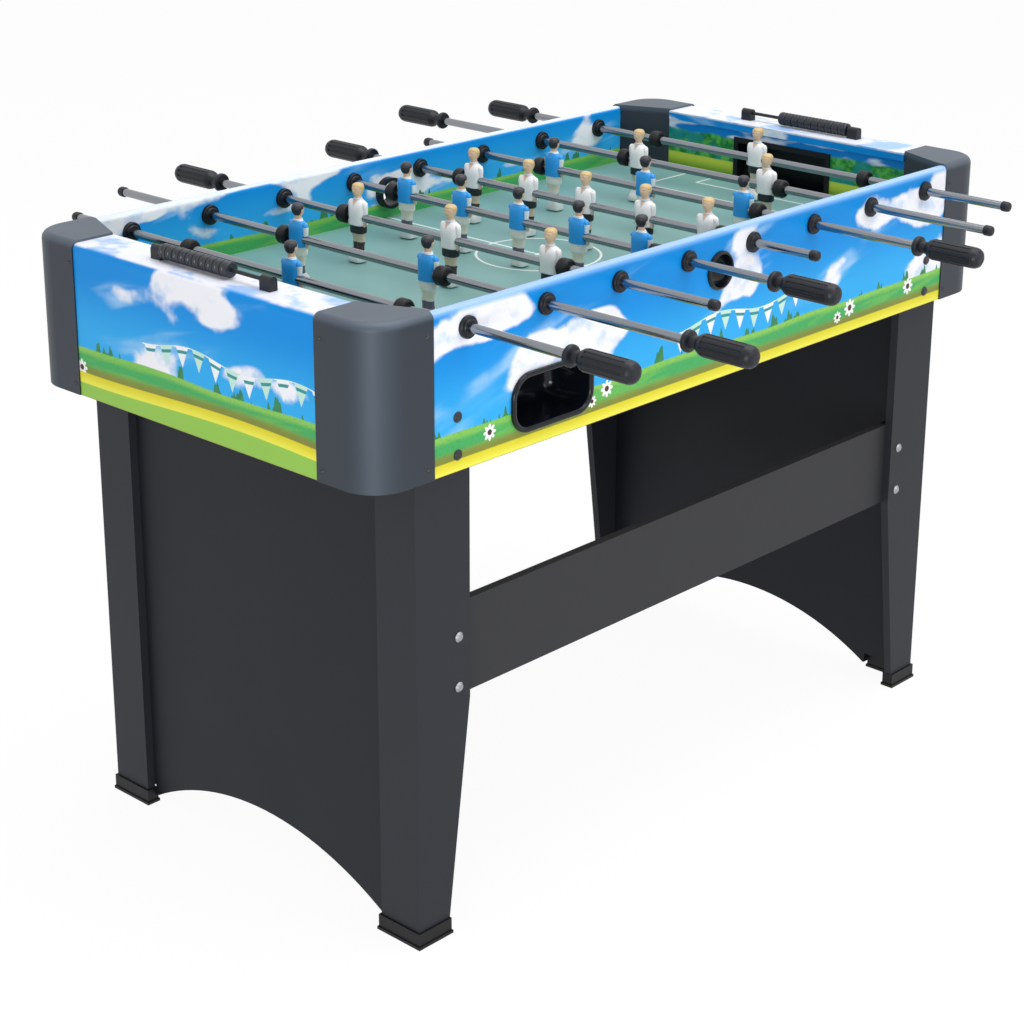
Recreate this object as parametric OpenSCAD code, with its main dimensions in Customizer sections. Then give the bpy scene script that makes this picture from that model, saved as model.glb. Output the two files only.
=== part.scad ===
// Four-foot foosball table: a printed cabinet with moulded corner caps on L-shaped legs,
// eight player rods that slide and turn in the rails, goals, ball returns and score counters.
// The origin is on the floor under the middle of the cabinet, +X along the table, +Z up.

/* [Cabinet] */
// Length over the corner caps
table_l = 1210; // [1100:5:1400]
// Width over the corner caps
table_w = 628; // [560:2:760]
// Height of the corner caps above the floor
table_h = 806; // [740:1:900]
// Depth of the side and end panels
panel_d = 195; // [185:1:260]
// Thickness of the long side rails
rail_t = 16; // [12:1:22]
// Radius on the top edges of the side rails
rail_round = 6; // [2:0.5:7]
// Thickness of the end panels
end_t = 15; // [12:1:20]
// Depth of the end box from the caps to the goal wall
end_depth = 63; // [55:1:90]
// Thickness of the shelf on top of the end box
shelf_t = 12; // [8:1:18]
// Radius on the outer top edge of the end box
shelf_round = 8; // [2:1:11]
// Thickness of the goal walls
goal_wall_t = 12; // [9:1:16]
// Thickness of the playing field
field_t = 6; // [3:0.5:10]
// Drop from the rail tops to the playing field
field_drop = 88; // [80:1:110]

/* [Corner caps] */
// Reach of a corner cap along each side
cap_reach = 94; // [80:1:130]
// Radius of the upright outer corner
cap_corner = 48; // [30:1:75]
// Wall thickness of the cap's skirt
cap_wall = 2; // [1.5:0.5:3]
// Thickness of the cap's top
cap_top_t = 6; // [5:0.5:8]
// Radius between the cap's top and its skirt
cap_round = 10; // [3:0.5:11]
// How far the cap stands above the rails
cap_rise = 3; // [2:0.5:6]
// How far the skirt hangs below the panels
cap_hang = 0; // [0:0.5:10]

/* [Legs] */
// Distance from the cabinet's end to the leg's outer face
leg_inset = 79; // [60:1:140]
// Thickness of the leg boards
leg_t = 12; // [9:1:18]
// Width of the leg's side board at the cabinet
leg_side_w = 89; // [70:1:130]
// Width of the leg's side board at the floor
leg_foot_w = 50; // [40:1:70]
// Height at which the side board begins to taper
leg_taper_z = 308; // [200:1:400]
// Width of the leg's end board
leg_end_w = 66; // [50:1:90]
// How far the legs reach up inside the cabinet
leg_lap = 92; // [80:1:95]
// Height of the arch's ends above the floor
arch_z = 10; // [5:1:40]
// Rise of the arch in the leg panel
arch_rise = 62; // [30:1:120]
// How far the leg panel reaches up inside the cabinet
leg_panel_lap = 17; // [5:1:25]
// Height of the stretcher boards
stretcher_h = 120; // [80:1:160]
// Thickness of the stretcher boards
stretcher_t = 12; // [9:1:18]
// How far a stretcher runs behind each leg
stretcher_lap = 60; // [45:1:70]
// Height of the plastic feet
foot_h = 21; // [15:1:30]
// Wall of the plastic feet
foot_wall = 2.5; // [1.5:0.5:4]

/* [Rods] */
// Distance from a goal wall to the goalkeeper's rod
goal_rod_gap = 85.25; // [78:0.25:90]
// Outer diameter of the steel rods
rod_d = 11.4; // [10:0.1:13]
// Wall of the steel tube
rod_wall = 1.2; // [0.8:0.1:2]
// Drop from the rail tops to the rod centres
rod_drop = 26; // [24:1:30]
// Running clearance on the rod's diameter
rod_run = 0.16; // [0.04:0.02:0.2]
// Travel of the goalkeepers' rods to each side
travel_one = 88; // [60:0.5:100]
// Travel of the two-player rods to each side
travel_two = 137.5; // [90:0.5:150]
// Travel of the three-player rods to each side
travel_three = 82.5; // [60:0.5:100]
// Travel of the five-player rods to each side
travel_five = 43.5; // [35:0.5:60]
// Gap left between the goalkeepers' handles and the bearings at full travel
grip_gap_one = 41.5; // [5:0.5:80]
// Gap left at the handles of the two-player rods
grip_gap_two = 66; // [5:0.5:80]
// Gap left at the handles of the three-player rods
grip_gap_three = 50.5; // [5:0.5:80]
// Gap left at the handles of the five-player rods
grip_gap_five = 57; // [5:0.5:80]
// Gap left between the goalkeepers' end caps and the bearings at full travel
tip_gap_one = 14; // [1:0.5:30]
// Gap left at the end caps of the two-player rods
tip_gap_two = 20; // [1:0.5:30]
// Gap left at the end caps of the three-player rods
tip_gap_three = 24; // [1:0.5:30]
// Gap left at the end caps of the five-player rods
tip_gap_five = 16.5; // [1:0.5:30]

/* [Players] */
// Height of a player above the rod
man_up = 46.5; // [40:0.5:50]
// Reach of a player's foot below the rod
man_down = 60; // [54:0.5:61]
// Width across a player's arms
man_w = 33; // [28:0.5:36]
// Depth of a player's chest
man_t = 19; // [17:0.5:22]
// Radius of a player's head
head_r = 7.75; // [7:0.25:10]

/* [Handles and stops] */
// Length of a handle
grip_l = 96.5; // [90:0.5:120]
// Diameter of the handle's barrel
grip_d = 27; // [24:0.5:32]
// Number of flutes round the handle
flutes = 12; // [8:1:16]
// Diameter of the handle's collar
collar_d = 26; // [20:0.5:30]
// Length of the rubber end caps
tip_l = 12; // [9:0.5:25]
// Diameter of the rubber end caps
tip_d = 14; // [14:0.5:22]
// Length of the rubber bumpers
bumper_l = 16; // [10:1:18]
// Diameter of the rubber bumpers
bumper_d = 25; // [20:0.5:30]
// Gap between the outer player's middle and the bumper
bumper_gap = 17.5; // [17:0.5:20]

/* [Bearings] */
// Diameter of the bearing sleeve in the rail
sleeve_d = 19; // [17:0.5:22]
// Diameter of the bearing flange
flange_d = 27; // [24:0.5:34]
// Thickness of the bearing flange
flange_t = 5; // [2:0.5:7]
// Height of the boss on the flange
boss_h = 2; // [1:0.5:6]
// Clearance round inserts in their holes
fit = 0.2; // [0.1:0.05:0.4]

/* [Goals and ball paths] */
// Width of the goal's mouth
goal_w = 164; // [120:2:200]
// Height of the goal's mouth
goal_h = 58; // [45:1:64]
// Width of the goal frame's rim
goal_rim = 8; // [5:1:12]
// Diameter of the ball entry's mouth
entry_d = 37; // [35:1:40]
// Drop from the rail tops to the ball entries
entry_drop = 51; // [48:1:56]
// Reach of a ball entry's sleeve past the rail's inner face
entry_in = 12; // [2:1:13]
// Diameter of the ball entry's flange
entry_flange_d = 51; // [46:1:56]
// Width of a ball return's rim
return_w = 142; // [140:2:170]
// Height of a ball return's rim
return_h = 74; // [70:1:80]
// Radius of a ball return's upper corners
return_top_r = 31; // [20:1:36]
// Radius of a ball return's lower corners
return_low_r = 28; // [12:1:32]
// Distance of the ball returns' middle from the end of the cabinet
return_inset = 291; // [275:1:305]
// Height of the ball return's middle above the panel's lower edge
return_z = 56; // [45:1:60]
// Depth of the ball return behind the rail's outer face
return_deep = 60; // [45:1:70]
// Width of the opening from the chute into a ball return
exit_w = 50; // [42:1:70]
// Thickness of the chute boards
chute_t = 3; // [2:0.5:5]
// Slope of the chutes
chute_slope = 2.5; // [1.5:0.5:3]
// Depth of the chute's floor under the field at the end panel
chute_drop = 38; // [36:1:42]
// Height of the chute's outer end below the field
chute_lip = 8; // [4:1:14]

/* [Score counters] */
// Number of beads on each counter
beads = 10; // [5:1:10]
// Pitch of the beads
bead_l = 12.4; // [10:0.2:13]
// Diameter of the beads
bead_d = 19.5; // [16:0.5:26]
// Diameter of the counter's wire
wire_d = 5; // [3:0.5:6]
// Distance between the counter's brackets
counter_l = 180; // [160:2:220]
// Shift of the counters' middle towards the near side
counter_shift = 10; // [0:1:20]
// Length of a bracket
bracket_l = 18; // [14:1:30]
// Width of a bracket
bracket_w = 12; // [10:0.5:20]

/* [Hidden] */
$fn = 48;
eps = 0.01;

// Cabinet frame
half_l = table_l / 2;
half_w = table_w / 2;
rail_top = table_h - cap_rise;
panel_z = rail_top - panel_d;
rail_out = half_w - cap_wall;
rail_in = rail_out - rail_t;
end_out = half_l - cap_wall;
end_in = end_out - end_t;
wall_in = half_l - end_depth;
wall_out = wall_in + goal_wall_t;
field_z = rail_top - field_drop;
field_under = field_z - field_t;
shelf_z = rail_top - shelf_t;
cap_x = half_l - cap_reach;
cap_y = half_w - cap_reach;
lap_top = table_h - cap_top_t - fit;
cap_under = table_h - cap_top_t;

// Legs
leg_x = half_l - leg_inset;
leg_y = rail_in;
leg_top = panel_z + leg_lap;
leg_panel_x = leg_x - leg_t;
arch_half = leg_y - leg_end_w - 6;
arch_r = (arch_half * arch_half + arch_rise * arch_rise) / (2 * arch_rise);
stretcher_x = leg_x - leg_side_w + stretcher_lap;
foot_fit = 0.2;
foot_taper = (leg_side_w - leg_foot_w) * foot_h / leg_taper_z;
bolt_d = 6;
bolt_head_d = 13;
bolt_head_t = 3;
nut_d = 13;
nut_t = 5;
bolt_hole_d = bolt_d + 2 * fit;
leg_bolt_x = leg_x - leg_side_w * 0.6;
leg_bolt_zs = [panel_z + 20, panel_z + 65.5];
stretcher_bolt_x = leg_x - leg_side_w + 19;
stretcher_bolt_zs = [leg_taper_z + 18, leg_taper_z + 83];
cap_screw_d = 6;
cap_screw_zs = [panel_z + 14, rail_top - 25];

// Rods, numbered from the left end
rods = 8;
rod_men = [1, 2, 3, 5, 5, 3, 2, 1];
rod_side = [-1, -1, 1, -1, 1, -1, 1, 1];
rod_rest = [-17, 0, -27, -24, -26, -22, -17, -18];
rod_z = rail_top - rod_drop;
rod_bore = rod_d + rod_run;
seat_d = rod_d + 0.04;
rod_pitch = 2 * (wall_in - goal_rod_gap) / (rods - 1);
stop_in = rail_in - flange_t - boss_h;
stop_out = rail_out + flange_t + boss_h;
function rod_x(k) = (k - (rods - 1) / 2) * rod_pitch;
function by_men(n, one, two, three, five) = n == 1 ? one : n == 2 ? two : n == 3 ? three : five;
function travel(n) = by_men(n, travel_one, travel_two, travel_three, travel_five);
function grip_gap(n) = by_men(n, grip_gap_one, grip_gap_two, grip_gap_three, grip_gap_five);
function tip_gap(n) = by_men(n, tip_gap_one, tip_gap_two, tip_gap_three, tip_gap_five);
function bumper_at(n) = stop_in - travel(n) - bumper_l / 2;
function outer_man(n) = bumper_at(n) - bumper_l / 2 - bumper_gap;
function spacing(n) = n == 1 ? 0 : 2 * outer_man(n) / (n - 1);
function grip_end(n) = stop_out + travel(n) + grip_gap(n) + grip_l;
function tip_end(n) = stop_out + travel(n) + tip_gap(n) + tip_l;

// Ball paths
goal_top = field_z + goal_h;
entry_z = rail_top - entry_drop;
return_x = half_l - return_inset;
cup_z = panel_z + return_z;
cup_back = rail_out - return_deep;
chute_w = goal_w + 2 * goal_rim;
chute_end = return_x - return_w / 2 + 22;
chute_side = chute_end + exit_w;
chute_z = field_under - chute_drop;
function chute_floor(x) = chute_z - (end_in - x) * tan(chute_slope);
cross_z = chute_floor(chute_end) - chute_t;
function cross_floor(y) = cross_z - (y - chute_w / 2) * tan(chute_slope);

// Score counters
counter_x = (wall_in + end_out) / 2;
counter_y = -counter_shift;
wire_z = rail_top + bead_d / 2 + 1.5;
bead_gap = 0.3;
bead_stack = beads * bead_l;
bead_rest_left = counter_y + counter_l / 2 - bead_stack / 2 - 1;
bead_rest_right = counter_y + bead_stack / 2 - counter_l / 2 + 2;

// ---------------------------------------------------------------- shared shapes

// Puts a child at both ends of the table, the second one turned half round.
module both_ends() {
    children();
    rotate([0, 0, 180]) children();
}

// A rectangle from corner to corner.
module box(lo, hi) {
    translate(lo) cube(hi - lo);
}

// A cylinder along +Y, from y0 to y1, at x and z.
module y_cyl(d, y0, y1, x, z) {
    translate([x, y0, z]) rotate([-90, 0, 0]) cylinder(d = d, h = y1 - y0);
}

// Revolves a profile, drawn as radius and height, about the Y axis at x and z, starting at y
// and running towards dir.
module y_turn(x, y, z, dir = 1) {
    translate([x, y, z]) rotate([-90 * dir, 0, 0]) rotate_extrude() children();
}

// Outline with round corners: rt at the top, rb at the bottom, centred on the origin.
module soft_outline(w, h, rt, rb) {
    union() {
        translate([-w / 2 + rb, -h / 2]) square([w - 2 * rb, rb]);
        translate([-w / 2, -h / 2 + rb]) square([w, h - rb - rt]);
        translate([-w / 2 + rt, h / 2 - rt]) square([w - 2 * rt, rt]);
        for (s = [-1, 1]) {
            translate([s * (w / 2 - rb), -h / 2 + rb]) circle(r = rb);
            translate([s * (w / 2 - rt), h / 2 - rt]) circle(r = rt);
        }
    }
}

// ---------------------------------------------------------------- cabinet

// Section of a side rail in Y and Z, with both top edges rounded, outer face at y = rail_out.
module rail_section() {
    difference() {
        translate([rail_in, panel_z]) square([rail_t, panel_d]);
        for (s = [0, 1]) {
            translate([s == 0 ? rail_in - eps : rail_out - rail_round, rail_top - rail_round])
                square([rail_round + eps, rail_round + eps]);
        }
    }
    for (y = [rail_in + rail_round, rail_out - rail_round]) {
        translate([y, rail_top - rail_round]) circle(r = rail_round);
    }
}

// The side rail on +Y: board, lowered laps that enter the caps, and its holes.
module side_rail() {
    lap_end = half_l - cap_corner;
    difference() {
        union() {
            translate([-cap_x, 0, 0]) rotate([90, 0, 90]) linear_extrude(2 * cap_x) rail_section();
            for (s = [-1, 1]) {
                box([min(s * lap_end, s * (cap_x - 1)), rail_in, panel_z],
                    [max(s * lap_end, s * (cap_x - 1)), rail_out - fit, lap_top - rail_round]);
            }
        }
        for (k = [0 : rods - 1]) {
            y_cyl(sleeve_d + fit, rail_in - 1, rail_out + 1, rod_x(k), rod_z);
        }
        y_cyl(entry_d + 8 + fit, rail_in - 1, rail_out + 1, 0, entry_z);
        translate([return_x, rail_out + 1, cup_z]) rotate([90, 0, 0]) linear_extrude(rail_t + 2)
            soft_outline(return_w - 10 + fit, return_h - 10 + fit, return_top_r - 5, return_low_r - 5);
        for (s = [-1, 1], z = leg_bolt_zs) {
            y_cyl(bolt_hole_d, rail_in - 1, rail_out + 1, s * leg_bolt_x, z);
        }
    }
}
module side_rail_far() {
    color("deepskyblue") side_rail();
}
module side_rail_near() {
    color("deepskyblue") rotate([0, 0, 180]) side_rail();
}

// The end box on +X: outer panel and shelf in one, with lowered laps that enter the caps.
module end_rail() {
    lap_end = half_w - cap_corner;
    translate([0, cap_y, 0]) rotate([90, 0, 0]) linear_extrude(2 * cap_y) union() {
        translate([end_in, panel_z]) square([end_t, panel_d - shelf_round]);
        translate([wall_in - 2, shelf_z]) square([end_out - shelf_round - wall_in + 2, shelf_t]);
        translate([end_out - shelf_round, rail_top - shelf_round]) circle(r = shelf_round);
    }
    for (s = [-1, 1]) {
        box([end_in, min(s * lap_end, s * (cap_y - 1)), panel_z],
            [end_out - fit, max(s * lap_end, s * (cap_y - 1)), lap_top - shelf_round]);
    }
}
module end_rail_right() {
    color("deepskyblue") end_rail();
}
module end_rail_left() {
    color("deepskyblue") rotate([0, 0, 180]) end_rail();
}

// The goal wall on +X, standing on the field between the side rails.
module goal_wall() {
    difference() {
        box([wall_in, -rail_in, field_z], [wall_out, rail_in, shelf_z]);
        box([wall_in - 1, -goal_w / 2 - 2 - fit, field_z - 1],
            [wall_out + 1, goal_w / 2 + 2 + fit, goal_top + 2 + fit]);
    }
}
module goal_wall_right() {
    color("mediumseagreen") goal_wall();
}
module goal_wall_left() {
    color("mediumseagreen") rotate([0, 0, 180]) goal_wall();
}

module playfield() {
    color("cadetblue") box([-wall_out, -rail_in, field_under], [wall_out, rail_in, field_z]);
}

// Plan of the corner cap at +X +Y, drawn inset from its outer faces.
module cap_plan(inset) {
    union() {
        intersection() {
            translate([half_l - cap_corner, half_w - cap_corner]) circle(r = cap_corner - inset);
            translate([half_l - cap_corner, half_w - cap_corner]) square(cap_corner);
        }
        polygon([[cap_x, half_w - inset], [half_l - cap_corner, half_w - inset],
            [half_l - cap_corner, half_w - cap_corner], [half_l - inset, half_w - cap_corner],
            [half_l - inset, cap_y], [wall_in - fit, cap_y], [cap_x, rail_in]]);
    }
}

// Outer body of the cap with a rounded top edge, from z0 up.
module cap_body(z0) {
    mid = [half_l - cap_corner, half_w - cap_corner];
    translate([0, 0, z0]) linear_extrude(table_h - cap_round - z0) cap_plan(0);
    linear_extrude(table_h) cap_plan(cap_round);
    translate([mid[0], mid[1], table_h - cap_round]) rotate_extrude(angle = 90)
        translate([cap_corner - cap_round, 0]) circle(r = cap_round);
    translate([cap_x, half_w - cap_round, table_h - cap_round]) rotate([0, 90, 0])
        cylinder(r = cap_round, h = cap_reach - cap_corner);
    translate([half_l - cap_round, cap_y, table_h - cap_round]) rotate([-90, 0, 0])
        cylinder(r = cap_round, h = cap_reach - cap_corner);
}

// The moulded cap at +X +Y: skirt outside, top, and the slanted wall in the playing corner.
module corner_cap() {
    skirt_z = panel_z - cap_hang;
    difference() {
        intersection() {
            cap_body(skirt_z);
            box([cap_x, cap_y, skirt_z], [half_l, half_w, table_h]);
        }
        translate([0, 0, skirt_z - 1]) linear_extrude(cap_under - skirt_z + 1) cap_plan(cap_wall);
    }
    translate([0, 0, field_z + fit]) linear_extrude(cap_under - field_z) intersection() {
        polygon([[cap_x, rail_in - fit], [cap_x + cap_wall + 1, rail_in - fit],
            [wall_in + cap_wall + 1, cap_y], [wall_in, cap_y]]);
        translate([0, 0]) square([wall_in - fit, rail_in]);
    }
}
module corner_caps() {
    color("dimgray") {
        both_ends() corner_cap();
        both_ends() mirror([0, 1, 0]) corner_cap();
    }
}

// ---------------------------------------------------------------- goals and ball paths

// The goal's moulded frame on +X: a rim on the playing side and a sleeve through the wall.
module goal_frame() {
    difference() {
        union() {
            box([wall_in - 2.5, -goal_w / 2 - goal_rim, field_z + fit],
                [wall_in, goal_w / 2 + goal_rim, goal_top + goal_rim]);
            box([wall_in, -goal_w / 2 - 2, field_z + fit], [wall_out + 4, goal_w / 2 + 2, goal_top + 2]);
        }
        box([wall_in - 4, -goal_w / 2, field_z - 1], [wall_out + 5, goal_w / 2, goal_top]);
    }
}
module goal_frame_right() {
    color("black") goal_frame();
}
module goal_frame_left() {
    color("black") rotate([0, 0, 180]) goal_frame();
}

// The chute on +X: it carries balls from behind the goal, under the field, to the far return.
module ball_chute() {
    lip = field_under - chute_lip;
    difference() {
        union() {
            for (s = [-1, 1]) {
                translate([0, s * (chute_w / 2 + chute_t / 2), 0]) rotate([90, 0, 0])
                    linear_extrude(chute_t, center = true) polygon([
                        [end_in, chute_z - chute_t], [end_in, lip], [wall_out, lip],
                        [wall_out, field_under], [chute_end, field_under],
                        [chute_end, chute_floor(chute_end) - chute_t]]);
            }
            rotate([90, 0, 0]) linear_extrude(chute_w + chute_t, center = true) polygon([
                [end_in, chute_z - chute_t], [end_in, chute_z],
                [chute_end, chute_floor(chute_end)], [chute_end, chute_floor(chute_end) - chute_t]]);
            box([chute_end - chute_t, -chute_w / 2 - chute_t, chute_floor(chute_end) - chute_t],
                [chute_end, chute_w / 2 + chute_t, field_under]);
        }
        translate([0, chute_w / 2 - 1, 0]) rotate([90, 0, 180]) linear_extrude(chute_t + 2) polygon([
            [-chute_end, chute_floor(chute_end)], [-chute_end, field_under + 1],
            [-chute_side, field_under + 1], [-chute_side, chute_floor(chute_side)]]);
    }
    for (x = [chute_end - chute_t, chute_side]) {
        translate([x, 0, 0]) rotate([90, 0, 90]) linear_extrude(chute_t) polygon([
            [chute_w / 2, cross_z - chute_t], [cup_back - fit, cross_floor(cup_back) - chute_t],
            [cup_back - fit, cup_z + return_h / 2 - 12], [(chute_w / 2 + cup_back) / 2, field_under],
            [chute_w / 2, field_under]]);
    }
    translate([chute_end - eps, 0, 0]) rotate([90, 0, 90])
        linear_extrude(chute_side - chute_end + 2 * eps) polygon([
            [chute_w / 2, cross_z - chute_t], [chute_w / 2, cross_z],
            [cup_back - fit, cross_floor(cup_back)], [cup_back - fit, cross_floor(cup_back) - chute_t]]);
}
module ball_chute_right() {
    color("burlywood") ball_chute();
}
module ball_chute_left() {
    color("burlywood") rotate([0, 0, 180]) ball_chute();
}

// Outline of a ball return in X and Z, drawn inset from its rim, extruded along +Y from y0.
module return_body(inset, y0, depth) {
    translate([0, y0 + depth, 0]) rotate([90, 0, 0]) linear_extrude(depth)
        soft_outline(return_w - 2 * inset, return_h - 2 * inset, return_top_r - inset,
            return_low_r - inset);
}
// The ball return in the rail on +Y: rim, sleeve and a back with a window onto the chute.
module return_cup() {
    wall = 2.5;
    win_lo = cross_floor(cup_back) - cup_z;
    win_hi = return_h / 2 - 14;
    translate([return_x, 0, cup_z]) difference() {
        union() {
            return_body(0, rail_out, 3);
            return_body(3, rail_out + 3, 2);
            return_body(5, cup_back, return_deep);
        }
        return_body(5 + wall, cup_back + wall, return_deep + 6);
        box([chute_end - return_x, cup_back - 1, win_lo], [chute_side - return_x, cup_back + wall + 1,
            win_hi]);
    }
}
module return_cup_far() {
    color("#181818") return_cup();
}
module return_cup_near() {
    color("#181818") rotate([0, 0, 180]) return_cup();
}

// The two ball entries: a flared mouth outside and a plain sleeve through the rail.
module ball_entry_cups() {
    color("#181818") both_ends() {
        y_turn(0, rail_in, entry_z) polygon([
            [entry_d / 2, -entry_in], [entry_d / 2 + 4, -entry_in], [entry_d / 2 + 4, rail_t],
            [entry_flange_d / 2, rail_t], [entry_flange_d / 2, rail_t + 2],
            [entry_flange_d / 2 - 2, rail_t + 4], [entry_d / 2 + 3, rail_t + 4],
            [entry_d / 2, rail_t - 4]]);
    }
}

// Profile of one bearing, as radius and height from the rail's inner face outwards.
module bearing_profile() {
    r = rod_bore / 2;
    out = rail_t;
    polygon([
        [r, -flange_t - boss_h], [r + 3, -flange_t - boss_h], [r + 4, -flange_t - boss_h + 1],
        [r + 4.5, -flange_t], [flange_d / 2 - 1, -flange_t], [flange_d / 2, -flange_t + 1],
        [flange_d / 2, 0], [sleeve_d / 2, 0], [sleeve_d / 2, out], [flange_d / 2, out],
        [flange_d / 2, out + flange_t - 1], [flange_d / 2 - 1, out + flange_t],
        [r + 4.5, out + flange_t], [r + 4, out + flange_t + boss_h - 1],
        [r + 3, out + flange_t + boss_h], [r, out + flange_t + boss_h]]);
}
module rod_bearings() {
    color("#202020") both_ends() for (k = [0 : rods - 1]) {
        y_turn(rod_x(k), rail_in, rod_z) bearing_profile();
    }
}

// ---------------------------------------------------------------- legs

// The leg at +X +Y: a tapered side board and a straight end board, joined at the corner.
module leg() {
    x_in = leg_x - leg_side_w;
    difference() {
        union() {
            translate([0, leg_y, 0]) rotate([90, 0, 0]) linear_extrude(leg_t) polygon([
                [leg_x, foot_wall], [leg_x, leg_top], [x_in, leg_top], [x_in, leg_taper_z],
                [leg_x - leg_foot_w, foot_wall]]);
            box([leg_x - leg_t, leg_y - leg_end_w, foot_wall], [leg_x, leg_y, leg_top]);
        }
        for (z = leg_bolt_zs) y_cyl(bolt_hole_d, leg_y - leg_t - 1, leg_y + 1, leg_bolt_x, z);
        for (z = stretcher_bolt_zs) {
            y_cyl(bolt_hole_d, leg_y - leg_t - 1, leg_y + 1, stretcher_bolt_x, z);
        }
    }
}
module leg_far_right() {
    color("#3c3d40") leg();
}
module leg_near_right() {
    color("#3c3d40") mirror([0, 1, 0]) leg();
}
module leg_near_left() {
    color("#3c3d40") rotate([0, 0, 180]) leg();
}
module leg_far_left() {
    color("#3c3d40") rotate([0, 0, 180]) mirror([0, 1, 0]) leg();
}

// The panel between two legs on +X, behind their end boards, with an arch at the floor.
module leg_panel() {
    y_out = leg_y - leg_t - fit;
    top = panel_z + leg_panel_lap;
    step_y = arch_half + 3;
    step_z = foot_h + 4;
    translate([leg_panel_x, 0, 0]) rotate([90, 0, -90]) linear_extrude(leg_t) difference() {
        polygon([[-y_out, top], [-y_out, step_z], [-step_y, step_z], [-step_y, arch_z],
            [step_y, arch_z], [step_y, step_z], [y_out, step_z], [y_out, top]]);
        intersection() {
            translate([0, arch_z + arch_rise - arch_r]) circle(r = arch_r, $fn = 96);
            translate([-arch_half - 1, arch_z - 1]) square([2 * arch_half + 2, arch_rise + 2]);
        }
    }
}
module leg_panel_right() {
    color("#2c2d31") leg_panel();
}
module leg_panel_left() {
    color("#2c2d31") rotate([0, 0, 180]) leg_panel();
}

// The two stretchers behind the side boards of the legs.
module stretchers() {
    color("#45464a") both_ends() difference() {
        box([-stretcher_x, leg_y - leg_t - stretcher_t, leg_taper_z],
            [stretcher_x, leg_y - leg_t, leg_taper_z + stretcher_h]);
        for (s = [-1, 1], z = stretcher_bolt_zs) {
            y_cyl(bolt_hole_d, leg_y - leg_t - stretcher_t - 1, leg_y, s * stretcher_bolt_x, z);
        }
    }
}

// Outline of a leg's two boards at the floor, grown by a margin.
module foot_outline(grow) {
    x_in = leg_x - leg_foot_w;
    union() {
        translate([x_in - grow, leg_y - leg_t - grow])
            square([leg_foot_w + 2 * grow, leg_t + 2 * grow]);
        translate([leg_x - leg_t - grow, leg_y - leg_end_w - grow])
            square([leg_t + 2 * grow, leg_end_w + 2 * grow]);
    }
}
// A moulded foot at +X +Y: an L-shaped shoe with a wider sole.
module foot() {
    difference() {
        union() {
            linear_extrude(foot_h) foot_outline(foot_wall + foot_fit);
            linear_extrude(4) foot_outline(foot_wall + foot_fit + 1.5);
        }
        translate([0, 0, foot_wall]) linear_extrude(foot_h) foot_outline(foot_fit);
        translate([0, 0, foot_wall]) linear_extrude(foot_h) translate([leg_x - leg_foot_w
            - foot_taper, leg_y - leg_t - foot_fit]) square([foot_taper + 1, leg_t + 2 * foot_fit]);
    }
}
module feet() {
    color("#1c1c1e") {
        both_ends() foot();
        both_ends() mirror([0, 1, 0]) foot();
    }
}

// A bolt along Y through boards from y_in to y_out, its head outside and its nut inside.
module bolt(x, z, y_in, y_out) {
    y_cyl(bolt_d, y_in - nut_t - 2, y_out, x, z);
    y_turn(x, y_out, z) polygon([[0, 0], [bolt_head_d / 2, 0], [bolt_head_d / 2, 1],
        [bolt_head_d / 2 - 2.5, bolt_head_t], [0, bolt_head_t]]);
    translate([x, y_in - nut_t, z]) rotate([-90, 0, 0]) cylinder(d = nut_d, h = nut_t, $fn = 6);
}
// A button-head screw that holds a cap's skirt, on the side face at x and on the end face at y.
module cap_screws() {
    for (z = cap_screw_zs) {
        y_turn(cap_x + 9, half_w, z) polygon([[0, 0], [cap_screw_d / 2, 0],
            [cap_screw_d / 2 - 1.5, 1.6], [0, 1.6]]);
        translate([half_l, cap_y + 9, z]) rotate([0, 90, 0]) cylinder(
            d1 = cap_screw_d, d2 = cap_screw_d - 3, h = 1.6);
    }
}
module fasteners() {
    color("silver") for (m = [0, 1]) mirror([0, m, 0]) both_ends() {
        for (z = leg_bolt_zs) bolt(leg_bolt_x, z, leg_y - leg_t, rail_out);
        for (z = stretcher_bolt_zs) {
            bolt(stretcher_bolt_x, z, leg_y - leg_t - stretcher_t, leg_y);
        }
        cap_screws();
    }
}

// ---------------------------------------------------------------- score counters

// One counter with its middle at zero: two brackets on the shelf and the wire between them.
module score_wire() {
    for (s = [-1, 1]) {
        translate([0, s * (counter_l / 2 + bracket_l / 2), 0]) difference() {
            union() {
                box([-bracket_w / 2, -bracket_l / 2, rail_top],
                    [bracket_w / 2, bracket_l / 2, wire_z]);
                y_cyl(bracket_w, -bracket_l / 2, bracket_l / 2, 0, wire_z);
            }
            y_cyl(wire_d, -bracket_l / 2 - 1, bracket_l / 2 + 1, 0, wire_z);
        }
    }
    y_cyl(wire_d, -counter_l / 2 - bracket_l, counter_l / 2 + bracket_l, 0, wire_z);
}
module score_wires() {
    color("#2a2a2c") for (x = [-counter_x, counter_x]) {
        translate([x, counter_y, 0]) score_wire();
    }
}

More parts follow.
